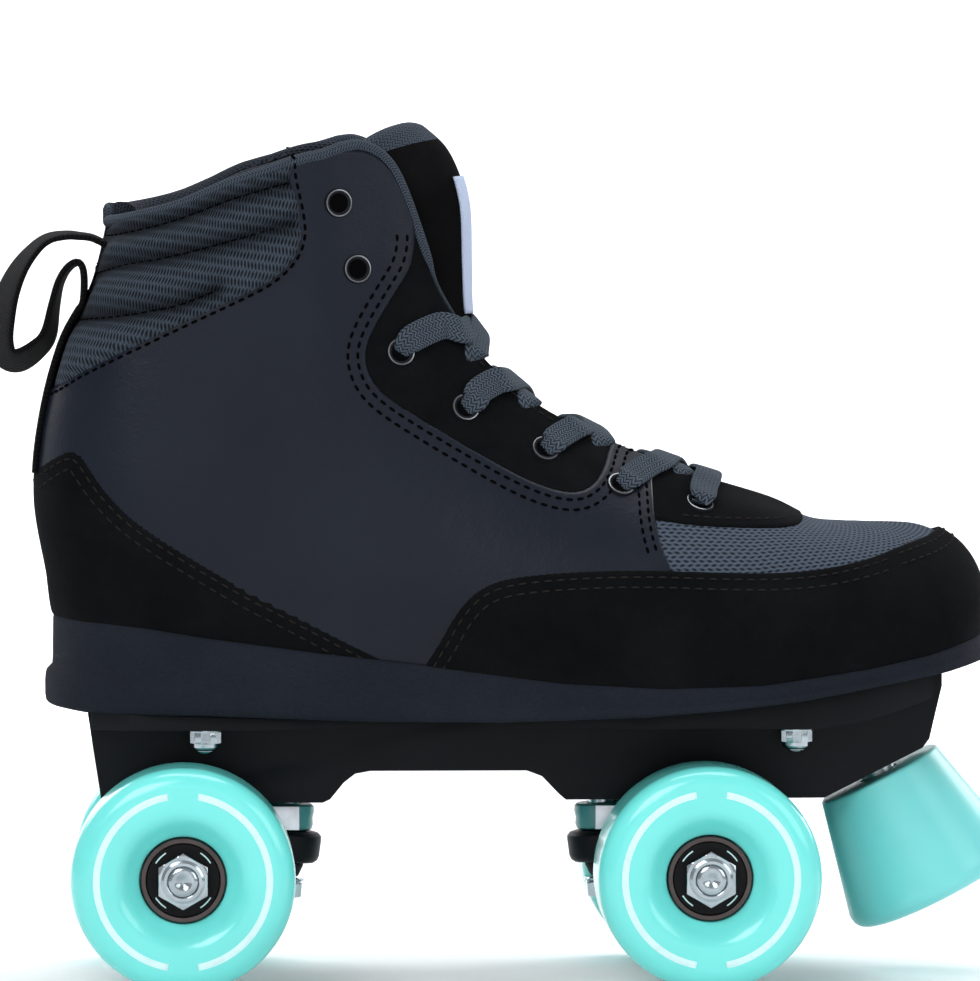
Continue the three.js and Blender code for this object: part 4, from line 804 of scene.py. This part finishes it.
# ------------------------------------------------------------------ tongue
TONGUE = np.array([[150,124.5,11,3.5],[146,126.2,12,4],[134,129.2,14,5],[120,133.5,15,6],[106,138.7,15,7],[94,145,14.5,8],[85,153,13.8,10],[78.4,163,13.2,12.5],[76.0,175,13,15],[75.6,188,13,17],[75.4,200,13.6,18],[74.6,206.5,14,18.5],[72.6,213.2,14.6,18.6],[69.2,219.4,15,18.4],[64.0,224.2,15.2,17.6]])
def tongue():
    c = smooth_line(TONGUE, 10)
    tx = np.gradient(c[:, 0]); tz = np.gradient(c[:, 1]); l = np.hypot(tx, tz); nx, nz = tz / l, -tx / l
    lim = np.interp(c[:, 1], [180, 200], [1.0, 0.12]); nz = np.minimum(nz, lim); g_ = np.hypot(nx, nz); nx, nz = nx / g_, nz / g_
    f = np.linspace(-1.42, 1.42, 57)
    th_ = 5.5
    rows = []
    n = len(c)
    u = np.linspace(0, 1, n)
    pad = th_ + 2.2 * np.exp(-((u - 0.95) / 0.07) ** 2)
    outer = np.zeros((n, 57, 3)); inner = np.zeros((n, 57, 3))
    for i in range(n):
        x, z, w, sag = c[i]
        dz_ = 5.0 * (np.abs(f) / 1.42) ** 4 * np.clip((u[i] - 0.84) / 0.16, 0, 1) ** 1.5
        y = w * np.sin(f) / math.sin(1.3); d = sag * (1 - np.cos(f)) / (1 - math.cos(1.3))
        k = pad[i] / max(w, sag)
        outer[i] = np.stack([x - nx[i] * d, y + centre(x), z - nz[i] * d - dz_], 1)
        inner[i] = np.stack([x - nx[i] * (d * (1 - k) + pad[i]), y * (1 - k) + centre(x), z - nz[i] * (d * (1 - k) + pad[i]) - dz_], 1)
    # rounded top: semicircular roll between the outer and inner faces
    rolls = []
    mid = (outer[-1] + inner[-1]) / 2; half = (outer[-1] - inner[-1]) / 2
    tdir = outer[-1] - outer[-2]; tdir /= np.linalg.norm(tdir, axis=1, keepdims=True)
    rad = np.linalg.norm(half, axis=1, keepdims=True)
    for a in np.linspace(0, np.pi, 13)[1:-1]:
        rolls.append(mid + half * math.cos(a) + tdir * rad * math.sin(a) * 0.8)
    G = np.concatenate([outer, np.array(rolls), inner[::-1]])
    lu = np.concatenate([np.zeros((1, 57)), np.cumsum(np.linalg.norm(np.diff(G, axis=0), axis=2), axis=0)])
    lv = np.broadcast_to((f * 13)[None], lu.shape)
    fm = []
    N, K = G.shape[:2]
    faces = grid_faces(N, K)
    for i in range(N - 1):
        for j in range(K - 1):
            fm.append(1 if i > n - 9 and i < n + 30 else 0)
    base = len(faces)
    # close the long sides
    m1, m2 = 0, K - 1
    for i in range(n - 1):
        a, b = i, i + 1; c1, c2 = N - 1 - i, N - 2 - i
        faces.append((a * K + m1, c1 * K + m1, c2 * K + m1, b * K + m1)); fm.append(0)
        faces.append((a * K + m2, b * K + m2, c2 * K + m2, c1 * K + m2)); fm.append(0)
    o = obj_from("tongue_suede", G.reshape(-1, 3), faces, None, attr=np.stack([lv, lu], -1), mats=[M["suede2"], M["binding"]], fmat=fm)
    fixnormals(o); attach(o, BODY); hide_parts("tongue")
    # pale woven label on the front
    i0 = int(np.argmin(np.abs(c[:, 1] - 175.5))); i1 = int(np.argmin(np.abs(c[:, 1] - 211.8))); j0, j1 = 19, 38
    sub = outer[i0:i1, j0:j1]
    nrm = np.stack([nx[i0:i1], np.zeros(i1 - i0), nz[i0:i1]], 1)[:, None] * np.cos(f[j0:j1])[None, :, None]
    nrm[..., 1] = np.sin(f[j0:j1])[None]
    P = sub + nrm * 0.55
    at = np.stack([lv[i0:i1, j0:j1], lu[i0:i1, j0:j1]], -1)
    lab = obj_from("tongue_label", P.reshape(-1, 3), grid_faces(i1 - i0, j1 - j0), M["label"], attr=at)
    md = lab.modifiers.new("thickness", "SOLIDIFY"); md.thickness = 0.0006; md.offset = 0
    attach(lab, BODY)
    return c, nx, nz, outer
TC, TNX, TNZ, TOUT = tongue()

# ------------------------------------------------------------------ eyelets and laces
EYES = [(134.9,124.9),(114.1,129.6),(94.5,139.3),(73.6,150.2),(56.7,164.8),(45.2,186.5),(40.2,203.7)]
EP = {}
rims, holes = [], []
for i, e in enumerate(EYES):
    for sd in (-1, 1):
        P, N = surf([e], sd, (0.6, 0.95, 0.4, 0.4, 0.4, 0.95, 0.95)[i], 3.0, 10.4)
        p, n = P[0], N[0]; EP[(i, sd)] = (p, n)
        a = np.cross(n, [0, 0, 1.0]); a /= np.linalg.norm(a); b = np.cross(n, a)
        R = np.stack([a, b, n], 1)
        prof = [(2.5, -0.1), (2.55, 0.36), (2.85, 0.6), (3.2, 0.68), (3.55, 0.62), (3.8, 0.2), (3.85, -0.3)]
        # painted highlight: the crown band gets bright metal and the sides black rubber, standing in for the highlight
        # ring on a dark rim
        rims.append(lathe("r", prof, None, (0, 0, 0), axis="Z", seg=40, body=None, M4=(R, p), mats=[M["rim"], M["black"]], bandmat=[1, 1, 1, 0, 1, 1]))
        # painted shade: a near-black disc in each eyelet stands for the hole's shaded inside
        holes.append(lathe("h", [(0, 0.1), (1.8, 0.12), (2.6, 0.2)], M["hole"], (0, 0, 0), axis="Z", seg=24, body=None, M4=(R, p)))
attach(join("eyelets", rims), BODY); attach(join("eyelet_holes", holes), BODY)

def bez(pts, n=40):
    return smooth_line(pts, max(4, n // (len(pts) - 1)))
def tongue_point(x, y, lift):
    """point over the tongue at a given X on its front and sideways offset"""
    i = np.argmin(np.abs(TC[:, 0] - x)) if x > 77 else None
    cx, cz, w, sag = TC[i]
    f = math.asin(max(-1, min(1, y / w * math.sin(1.3))))
    d = sag * (1 - math.cos(f)) / (1 - math.cos(1.3))
    return np.array([cx - TNX[i] * (d - lift), y + centre(cx), cz - TNZ[i] * (d - lift)]), np.array([TNX[i], 0, TNZ[i]])
laces = []
def edge(q, sd, t=5.98, h=0.0):
    S = q if sd < 0 else 28 - q
    P, _ = Praw(np.array([S]), np.array([t])); N = normals(np.array([S]), np.array([min(t, 5.85)]))
    return P[0] + N[0] * h, N[0]
def ridge(q, h):
    a, b = edge(q - 0.05, -1)[0], edge(q + 0.05, -1)[0]
    c, d = edge(q - 0.05, 1)[0], edge(q + 0.05, 1)[0]
    m = (a + b + c + d) / 4; g = (b + d - a - c); n = np.array([-g[2], 0, g[0]]); n /= np.linalg.norm(n)
    return m + n * h, n
EQ = {}
for i in range(5):
    x, z = EYES[i]
    sel = (S1 >= 3.0) & (S1 <= 10.4)
    k = np.argmin((XZG[sel][..., 0] - x) ** 2 + (XZG[sel][..., 1] - z) ** 2)
    EQ[i] = (SG[sel].ravel()[k], TG[sel].ravel()[k])
def strand(i, sd, first):
    """from the eyelet up over the flap, across the tongue and under the far flap one row lower"""
    p, n = EP[(i, sd)]; qi, ti = EQ[i]
    if i == 0:
        if sd > 0: return
        pts, nr = [p - n * 0.3, p + n * 1.3 + np.array([0.4, 0, 1.0])], [n, n]
        for t_, h in ((0.5, 1.9), (0.95, 2.1)):
            e, en = edge(qi + 0.10 * t_, -1, ti + (5.98 - ti) * t_, h); pts.append(e); nr.append(en)
        m, mn = ridge(qi + 0.13, 2.6); pts.append(m); nr.append(mn)
        o_ = []
        for t_, h in ((0.95, 2.1), (0.5, 1.9)):
            e, en = edge(qi + 0.10 * t_, 1, ti + (5.98 - ti) * t_, h); o_.append((e, en))
        q, nq = EP[(0, 1)]
        o_ += [(q + nq * 1.3 + np.array([0.4, 0, 1.0]), nq), (q - nq * 0.3, nq)]
        for e, en in o_: pts.append(e); nr.append(en)
    else:
        dq = EQ[i - 1][0] - qi
        pts = [p - n * 0.4, p + n * 1.35 + (edge(qi + 0.10 * dq, sd, ti + 0.22, 0)[0] - edge(qi, sd, ti, 0)[0])]; nr = [n, n]
        fE = {4: 0.84, 3: 0.50, 2: 0.45, 1: 0.50}[i]; fM = {4: 0.93, 3: 0.64, 2: 0.60, 1: 0.64}[i]; up = 2.4 if i == 4 else 0.0
        for f_, t_, h in ((0.33 * fE, 0.30, 1.5), (0.68 * fE, 0.64, 1.7), (fE, 0.95, 1.9)):
            e, en = edge(qi + f_ * dq, sd, ti + (5.98 - ti) * t_, h); pts.append(e); nr.append(en)
        m, mn = ridge(qi + fM * dq, up + (1.6 if first else 3.0)); pts.append(m); nr.append(mn)
        e, en = edge(qi + (fM + 0.17) * dq, -sd, 5.99, 0.3 if first else 0.7); pts.append(e); nr.append(en)
        e, en = edge(qi + (fM + 0.27) * dq, -sd, 5.72, -2.4); pts.append(e); nr.append(en)
    pts = np.array(pts); nr = np.array(nr)
    both = resample(smooth_line(np.concatenate([pts, nr], 1), 12), 0.5)
    pth, nn = both[:, :3], both[:, 3:]
    L = np.concatenate([[0], np.cumsum(np.linalg.norm(np.diff(pth, axis=0), axis=1))])
    width = 7.4 - 3.0 * np.exp(-(L / 2.6) ** 2)
    if i == 0: width = width - 3.0 * np.exp(-((L[-1] - L) / 2.6) ** 2)
    laces.append(ribbon("lace_%d_%d" % (i, sd), pth, nn, width, 1.4, M["lace"]))
for i in range(5):
    strand(i, -1, i % 2 == 0); strand(i, 1, i % 2 == 1)
lace = join("lace_woven", laces)
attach(lace, BODY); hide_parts("lace")

# ------------------------------------------------------------------ pull loop
LOOP = [(-20.0,193.0),(-24.0,194.9),(-27.4,195.4),(-30.8,195.6),(-35.3,194.8),(-38.9,192.3),(-43.2,186.9),(-46.4,179.8),(-48,171.8),(-48,166.6),(-46.4,163.2),(-43.2,162.6),(-38.9,165.2),(-35.6,169.2),(-34,177.1),(-32.6,183),(-30.3,187),(-27.6,188.4),(-26.2,185.6)]
for t_ in np.linspace(4.75, 2.35, 14):
    h_, n_ = Praw(np.array([0.0]), np.array([t_]))[0][0], normals(np.array([0.0]), np.array([t_]))[0]
    h_ = h_ + n_ * (0.6 + 0.1 / (1 + math.exp(-(h_[2] - 152) / 1.5)))
    LOOP.append((h_[0], h_[2]))
lp = resample(smooth_line([(x, z) for x, z in LOOP], 8), 0.7)
tw = np.linspace(0, 1, len(lp))
tt = np.gradient(lp, axis=0); tt /= np.linalg.norm(tt, axis=1, keepdims=True)
nl = np.stack([tt[:, 1], np.zeros(len(lp)), -tt[:, 0]], 1)
bell = np.exp(-((tw - 0.30) / 0.17) ** 2)
nl[:, 1] -= 0.42 * bell
loop = ribbon("pull_loop_webbing", np.stack([lp[:, 0], np.zeros(len(lp)), lp[:, 1]], 1), nl, 17.0 - 0 * tw, 1.9, M["webbing"], 28)
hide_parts("pull_loop")

# ------------------------------------------------------------------ sole and insole
def sole():
    n = 420
    s = np.linspace(0, 28, n, endpoint=False)
    P, _ = Praw(s, np.zeros(n)); A = Praw(s - 0.05, np.zeros(n))[0]; B = Praw(s + 0.05, np.zeros(n))[0]
    t = B - A; t[:, 2] = 0; t /= np.linalg.norm(t, axis=1, keepdims=True)
    out = np.stack([t[:, 1], -t[:, 0], np.zeros(n)], 1)
    base = P.copy(); base[:, 2] = 0
    rows = []
    x = P[:, 0]
    # (outward, height fraction) from the inner top edge round the wall to the underside
    heel = np.clip((-x + 20) / 50, 0, 1)
    prof = [(-6, 1.0), (0.6, 1.0), (1.7, 0.995), (2.2, 0.965), (2.45, 0.9), (2.5, 0.7), (2.55, 0.5), (2.7, 0.42), (3.0, 0.36), (3.3, 0.31), (3.45, 0.24), (3.45, 0.1), (3.2, 0.03), (2.5, 0.0), (-6, 0.0)]
    for (o_, h) in prof:
        g = base + out * (o_ - 1.15 * np.clip((-x - 2) / 25, 0, 1) * (h >= 0.4) * (o_ > 0))[:, None]
        g[:, 2] = zbot(x) + (ztop(x) + 0.6 - zbot(x)) * h
        rows.append(g)
    G = np.stack(rows, 1)
    K = len(prof)
    faces = grid_faces(n, K, wrap_u=True)
    L = np.cumsum(np.r_[0, np.linalg.norm(np.diff(P, axis=0), axis=1)])
    # caps across
    for i in range(n // 2):
        a, b, c, d = i, i + 1, (n - i - 1) % n, (n - i) % n
        for k, rev in ((0, True), (K - 1, False)):
            q = []
            for v in (a, b, c, d):
                if v * K + k not in q: q.append(v * K + k)
            if len(q) > 2: faces.append(tuple(q[::-1]) if rev else tuple(q))
    o = obj_from("sole_unit", G.reshape(-1, 3), faces, M["sole"]); fixnormals(o); sharp(o, 50)
    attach(o, BODY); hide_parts("sole")
sole()
def insole():
    n = 200
    s = np.linspace(0, 28, n, endpoint=False)
    P, _ = Praw(s, np.full(n, 0.0)); A = Praw(s - 0.05, np.zeros(n))[0]; B = Praw(s + 0.05, np.zeros(n))[0]
    t = B - A; t[:, 2] = 0; t /= np.linalg.norm(t, axis=1, keepdims=True)
    out = np.stack([t[:, 1], -t[:, 0], np.zeros(n)], 1); x = P[:, 0]
    rows = []
    for (o_, h) in [(-7, 0.4), (-4.6, 0.4), (-4.3, 1.2), (-4.4, 3.6), (-5.2, 4.4), (-9, 4.2), (-16, 3.7), (-22, 3.6)]:
        g = P + out * o_; g[:, 2] = ztop(x) + h; rows.append(g)
    G = np.stack(rows, 1); K = G.shape[1]
    faces = grid_faces(n, K, wrap_u=True)
    for i in range(n // 2):
        a, b, c, d = i, i + 1, (n - i - 1) % n, (n - i) % n
        for k in (0, K - 1):
            q = []
            for v in (a, b, c, d):
                if v * K + k not in q: q.append(v * K + k)
            if len(q) > 2: faces.append(tuple(q))
    o = obj_from("insole_board", G.reshape(-1, 3), faces, M["insole"]); fixnormals(o)
    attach(o, BODY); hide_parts("insole")
insole()

# ------------------------------------------------------------------ plate and hardware
refine("plate", "plate_nylon", M["nylon"], 1.1, 3)
def hexprof(name, af, h, origin, mat, body, axis="Z", hole=0.0, collar=0.0, sgn=1, M4=None):
    """hexagonal nut with chamfered corners and a locking collar on top"""
    seg = 96; th = np.linspace(0, 2 * np.pi, seg, endpoint=False)
    R = af / math.sqrt(3)
    hexr = (af / 2) / np.cos((th + np.pi / 6) % (np.pi / 3) - np.pi / 6)
    cap = af / 2 * 1.03
    zc = lambda r, zf, s: zf
    rows = []
    def ring(r, z): rows.append(np.stack([r * np.cos(th), r * np.sin(th), np.full(seg, 0.0) + z], 1))
    ch = (hexr - cap) * 0.55
    ring(np.full(seg, hole if hole else 0.01), 0)
    ring(np.minimum(hexr, cap) * 0.985, 0)
    ring(hexr, np.maximum(ch, 0.12))
    ring(hexr, h - np.maximum(ch, 0.12))
    ring(np.minimum(hexr, cap) * 0.985, h)
    if collar:
        ring(np.full(seg, af * 0.45), h); ring(np.full(seg, af * 0.44), h + collar * 0.7); ring(np.full(seg, af * 0.39), h + collar)
        ring(np.full(seg, hole + 0.2 if hole else 0.3), h + collar)
    ring(np.full(seg, hole if hole else 0.01), h + collar * 0.9)
    if hole: ring(np.full(seg, hole), 0)
    G = np.stack(rows, 1)
    v = G.reshape(-1, 3)
    if axis == "Y": v = np.stack([v[:, 0], v[:, 2] * sgn, v[:, 1]], 1)
    if M4 is not None: v = v @ M4[0].T + M4[1]
    v = v + np.array(origin, float)
    o = obj_from(name, v, grid_faces(seg, G.shape[1], wrap_u=True), mat)
    bm = bmesh.new(); bm.from_mesh(o.data); bmesh.ops.remove_doubles(bm, verts=bm.verts, dist=1e-7); bmesh.ops.recalc_face_normals(bm, faces=bm.faces); bm.to_mesh(o.data); bm.free()
    sharp(o, 28)
    if body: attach(o, body)
    return o
def rod(name, r, z0, z1, origin, mat, body, axis="Z", sgn=1, M4=None, pitch=0.0, tz0=None, dimple=0.0):
    prof = ([(0, z0 + dimple), (r * 0.3, z0 + dimple * 0.7), (r * 0.5, z0)] if dimple else [(0, z0)]) + [(r - 0.7, z0), (r, z0 + 0.7)]
    if pitch:
        z = z0 + 0.6
        end = tz0 if tz0 is not None else z1 - 0.6
        while z < end:
            prof += [(r, z), (r - 0.28, z + pitch / 2)]; z += pitch
        prof += [(r, z)]
    prof += [(r, z1 - 0.7), (r - 0.7, z1)] + ([(r * 0.5, z1), (r * 0.3, z1 - dimple * 0.7), (0, z1 - dimple)] if dimple else [(0, z1)])
    return lathe(name, prof, mat, origin, axis=axis, seg=40, body=body, sgn=sgn, M4=M4, angle=60)
for side, x, y in (("rear_outer", 5.8, -26), ("rear_inner", 5.8, 26), ("front_outer", 160.2, -26), ("front_inner", 160.2, 26)):
    nut = hexprof("lock_nut_" + side, 8.0, 3.3, (x, y, 66.2), M["zinc"], BODY, M4=(np.diag([1.0, -1.0, -1.0]), np.zeros(3)), hole=2.55, collar=1.5)
    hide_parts("mounting_nut_" + side)
    wsh = lathe("washer_" + side, [(2.7, 66.45), (4.7, 66.45), (4.75, 66.3), (4.7, 65.9), (2.7, 65.9)], M["zinc"], (x, y, 0), axis="Z", seg=48, closed=True)
    st = rod("stud_" + side, 2.45, 60.3, 69.0, (x, y, 0), M["zinc"], BODY, pitch=0.8, tz0=66.0)
    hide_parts("mounting_bolt_" + side)

def frameM(x, z, ang):
    c, s = math.cos(ang), math.sin(ang)
    return np.array([[c, 0, s], [0, 1, 0], [-s, 0, c]]), np.array([x, 0, z])
KPT = math.radians(5)
for front in (False, True):
    F = "front" if front else "rear"; TB = F + "_truck"
    x0 = 136.0 if front else 0.0
    kp = frameM(111.2 if front else 26.8, 46.7, -KPT if front else KPT)
    pv = frameM(148.5 if front else -12.5, 48.2, math.radians(30) * (1 if front else -1))
    def L(name, prof, mat, node=None, body=BODY, M4=kp, closed=False, seg=72, angle=38):
        o = lathe(F + name, prof, mat, (0, 0, 0), axis="Z", seg=seg, body=body, M4=M4, closed=closed, angle=angle)
        if node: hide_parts(F + node)
        return o
    # upper cushion in the darkened teal: painted shade under the plate
    cu = L("_cushion_upper", [(4.5, -1.1), (7.2, -1.1), (7.8, -1.6), (8.0, -3.0), (7.75, -4.6), (8.0, -6.4), (7.7, -7.6), (7.0, -8.1), (4.5, -8.1), (4.5, -5.8), (4.5, -3.4)], M["cushion"], "_upper_cushion", body=None, closed=True)
    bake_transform(cu)
    L("_yoke", [(6.4, -8.4), (8.3, -8.3), (9.6, -8.6), (10.4, -9.4), (10.5, -10.4), (10.3, -14.6), (9.9, -15.8), (9.0, -16.5), (6.4, -16.6)], M["nylon"], "_yoke_cup", body=TB, closed=True)
    cl = L("_cushion_lower", [(4.5, -16.95), (6.3, -16.95), (6.35, -17.4), (6.0, -18.3), (5.65, -19.3), (5.3, -20.2), (5.0, -20.45), (4.5, -20.45), (4.5, -19.3), (4.5, -18.2)], M["black"], "_lower_cushion", body=None, closed=True)
    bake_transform(cl)
    L("_retainer", [(4.5, -20.75), (6.6, -20.75), (6.9, -21.0), (6.9, -21.5), (6.6, -21.7), (4.5, -21.7)], M["zinc"], "_cushion_retainer", closed=True)
    R_, t_ = kp
    flip = R_ @ np.diag([1.0, -1.0, -1.0])
    nt = hexprof(F + "_kingpin_locknut", 12.7, 3.9, (0, 0, 0), M["zinc"], BODY, M4=(flip, t_ + R_ @ np.array([0, 0, -22.0])), hole=4.1, collar=0.0)
    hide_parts(F + "_kingpin_nut")
    kpin = rod(F + "_kingpin_bolt", 3.95, -27.1, 12.0, (0, 0, 0), M["zinc"], BODY, M4=kp, pitch=1.0, tz0=-14)
    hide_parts(F + "_kingpin")
    L("_pivot_bush", [(0, 6.0), (6.0, 6.0), (6.3, 5.6), (6.3, -2.2), (6.0, -2.4), (4.8, -2.4), (4.7, 2.7), (0, 2.8)], M["black"], "_pivot_cup", M4=pv)
    refine(F + "_hanger", F + "_hanger_cast", M["alu"], 0.7, 3, body=TB)
    ax = rod(F + "_axle_rod", 3.97, -53.9, 53.9, (x0, 0, 29), M["zinc"], TB, axis="Y", pitch=0.9, tz0=-47, dimple=1.2)
    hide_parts(F + "_axle")
    # thread on the other end too
    th2 = rod(F + "_axle_thread", 3.99, 47.0, 53.95, (x0, 0, 29), M["zinc"], TB, axis="Y", pitch=0.9, dimple=1.2)
    for sd, S in ((-1, "outer"), (1, "inner")):
        WB = "%s_%s_wheel_body" % (F, S); nm = "%s_%s_" % (F, S); cy = sd * 37.0
        # wheel: concave hub face, print step, rounded lip, flat tread; + side is the outboard face
        def arc(cx, cz, r, a0, a1, k):
            return [(cx + r * math.cos(a), cz + r * math.sin(a)) for a in np.radians(np.linspace(a0, a1, k))]
        face = [(9.0, 3.7), (11.25, 3.7), (11.3, 10.6), (11.7, 11.1), (12.8, 11.9), (14.2, 13.3), (15.6, 14.7), (16.8, 15.5), (17.8, 15.9), (19.2, 16.0), (23.4, 16.0)]
        lip = arc(23.4, 10.4, 5.6, 86, 4, 14)
        prof = face + lip + [(29.0, 9.6), (29.0, 0)]
        full = prof + [(r, -h) for r, h in prof[::-1][1:]]
        w = lathe(nm + "wheel_cast", full, M["teal"], (x0, cy, 29), seg=160, body=WB, sgn=sd, closed=True, angle=40)
        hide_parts(nm + "wheel")
        # printed ring in two arcs, a hair proud of the face
        for a0, a1, tag in ((100, 260, "a"), (280, 440, "b")):
            th = np.radians(np.linspace(a0, a1, 90)); rr = [21.3, 21.45, 23.05, 23.2]; hh = [15.95, 16.04, 16.04, 15.95]
            vs = [(x0 + r * math.cos(a), cy + sd * h, 29 + r * math.sin(a)) for a in th for r, h in zip(rr, hh)]
            rg = obj_from(nm + "print_" + tag, vs, grid_faces(90, 4) + [(0, 1, 2, 3), (359, 358, 357, 356)], M["ring"])
            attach(rg, WB)
        # bearings: outer race, dark shield, inner race
        for pos, lab, outb in ((7.5, "outboard_bearing", 1), (-7.5, "inboard_bearing", -1)):
            bp = [(4.1, -3.5), (5.7, -3.5), (5.9, -3.3), (6.0, -3.1), (9.3, -3.1), (9.6, -3.4), (9.7, -3.5), (10.7, -3.5), (11.0, -3.2), (11.0, 3.2), (10.7, 3.5), (9.7, 3.5), (9.6, 3.4), (9.3, 3.1), (6.0, 3.1), (5.9, 3.3), (5.7, 3.5), (4.1, 3.5)]
            band = [0, 0, 0, 1, 0, 0, 0, 0, 0, 0, 0, 0, 0, 1, 0, 0, 0, 0]
            b = lathe(nm + lab + "_races", bp, None, (x0, cy + sd * pos, 29), seg=96, body=WB, sgn=sd, closed=True, mats=[M["steel"], M["shield"]], bandmat=band)
            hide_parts(nm + lab)
        sp = lathe(nm + "spacer_tube", [(4.2, -3.6), (5.5, -3.6), (5.6, -3.5), (5.6, 3.5), (5.5, 3.6), (4.2, 3.6)], M["zinc"], (x0, cy, 29), seg=48, body=TB, sgn=sd, closed=True)
        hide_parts(nm + "bearing_spacer")
        nt = hexprof(nm + "lock_nut", 12.6, 3.9, (x0, sd * 48.4, 29), M["zinc"], TB, axis="Y", sgn=sd, hole=4.05, collar=1.3)
        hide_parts(nm + "axle_nut")
        nyl = lathe(nm + "nut_insert", [(4.02, 52.2), (4.75, 52.25), (4.8, 52.9), (4.05, 52.95)], M["hole"], (x0, 0, 29), seg=48, body=TB, sgn=sd, closed=True)
        for k in range(4):
            a0 = 45 + 90 * k; th = np.radians(np.linspace(a0 - 13, a0 + 13, 16)); rr = [8.15, 8.5]
            vs = [(x0 + r * math.cos(a), cy + sd * (7.5 + 3.13), 29 + r * math.sin(a)) for a in th for r in rr]
            mk = obj_from(nm + "shield_mark_%d" % k, vs, grid_faces(16, 2), M["ring"]); md = mk.modifiers.new("thickness", "SOLIDIFY"); md.thickness = 0.00008; md.offset = 0
            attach(mk, WB)
        # speed washer between nut and bearing
        wsh = lathe(nm + "speed_washer", [(4.2, 48.02), (5.6, 48.02), (5.7, 48.2), (5.6, 48.38), (4.2, 48.38)], M["zinc"], (x0, 0, 29), seg=48, body=TB, sgn=sd, closed=True)

# ------------------------------------------------------------------ toe stop
sf = frameM(184.2, 53.4, -math.radians(27))
tp = [(5.4, -0.7), (16.4, -0.7), (16.9, -1.0), (17.1, -1.6)] + [(17.1 + 6.85 * u, -1.6 - 29.6 * u) for u in np.linspace(0.05, 1, 12)]
tp += [(23.98, -32.2), (23.7, -33.6), (22.9, -34.8), (21.6, -35.6), (19.8, -36.1), (17.5, -36.25), (0, -36.25)]
ts = lathe("toe_stop_cast", tp, M["stop"], (0, 0, 0), axis="Z", seg=128, M4=sf, angle=50)
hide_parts("toe_stop")
tb = rod("toe_stop_stem", 5.0, -13.5, 12.5, (0, 0, 0), M["zinc"], BODY, M4=sf, pitch=1.2)
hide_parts("toe_stop_bolt")

# ------------------------------------------------------------------ stage
me = bpy.data.meshes.new("floor")
bm = bmesh.new()
xs = 6.0
prof = [(-6.0, 0.0)] + [(y, 0.0) for y in (-2, 0, 1.6)] + [(1.6 + 1.2 * math.sin(a), 1.2 - 1.2 * math.cos(a)) for a in np.linspace(0.1, math.pi / 2, 14)] + [(2.8, 6.0)]
for y, z in prof:
    bm.verts.new((-xs, y, z - 0.0004)); bm.verts.new((xs, y, z - 0.0004))
bm.verts.ensure_lookup_table()
for i in range(len(prof) - 1):
    bm.faces.new((bm.verts[2 * i], bm.verts[2 * i + 1], bm.verts[2 * i + 3], bm.verts[2 * i + 2]))
bm.to_mesh(me); bm.free()
me.polygons.foreach_set("use_smooth", [True] * len(me.polygons))
floor = bpy.data.objects.new("floor", me)
bpy.context.collection.objects.link(floor)
fm = NT("floor_pale")
me.materials.append(fm.set(fm.ramp(fm.noise(3, 2), [(0.3, (0.86, 0.87, 0.88, 1)), (0.7, (0.89, 0.895, 0.9, 1))]), 0.7))

bpy.context.view_layer.update()
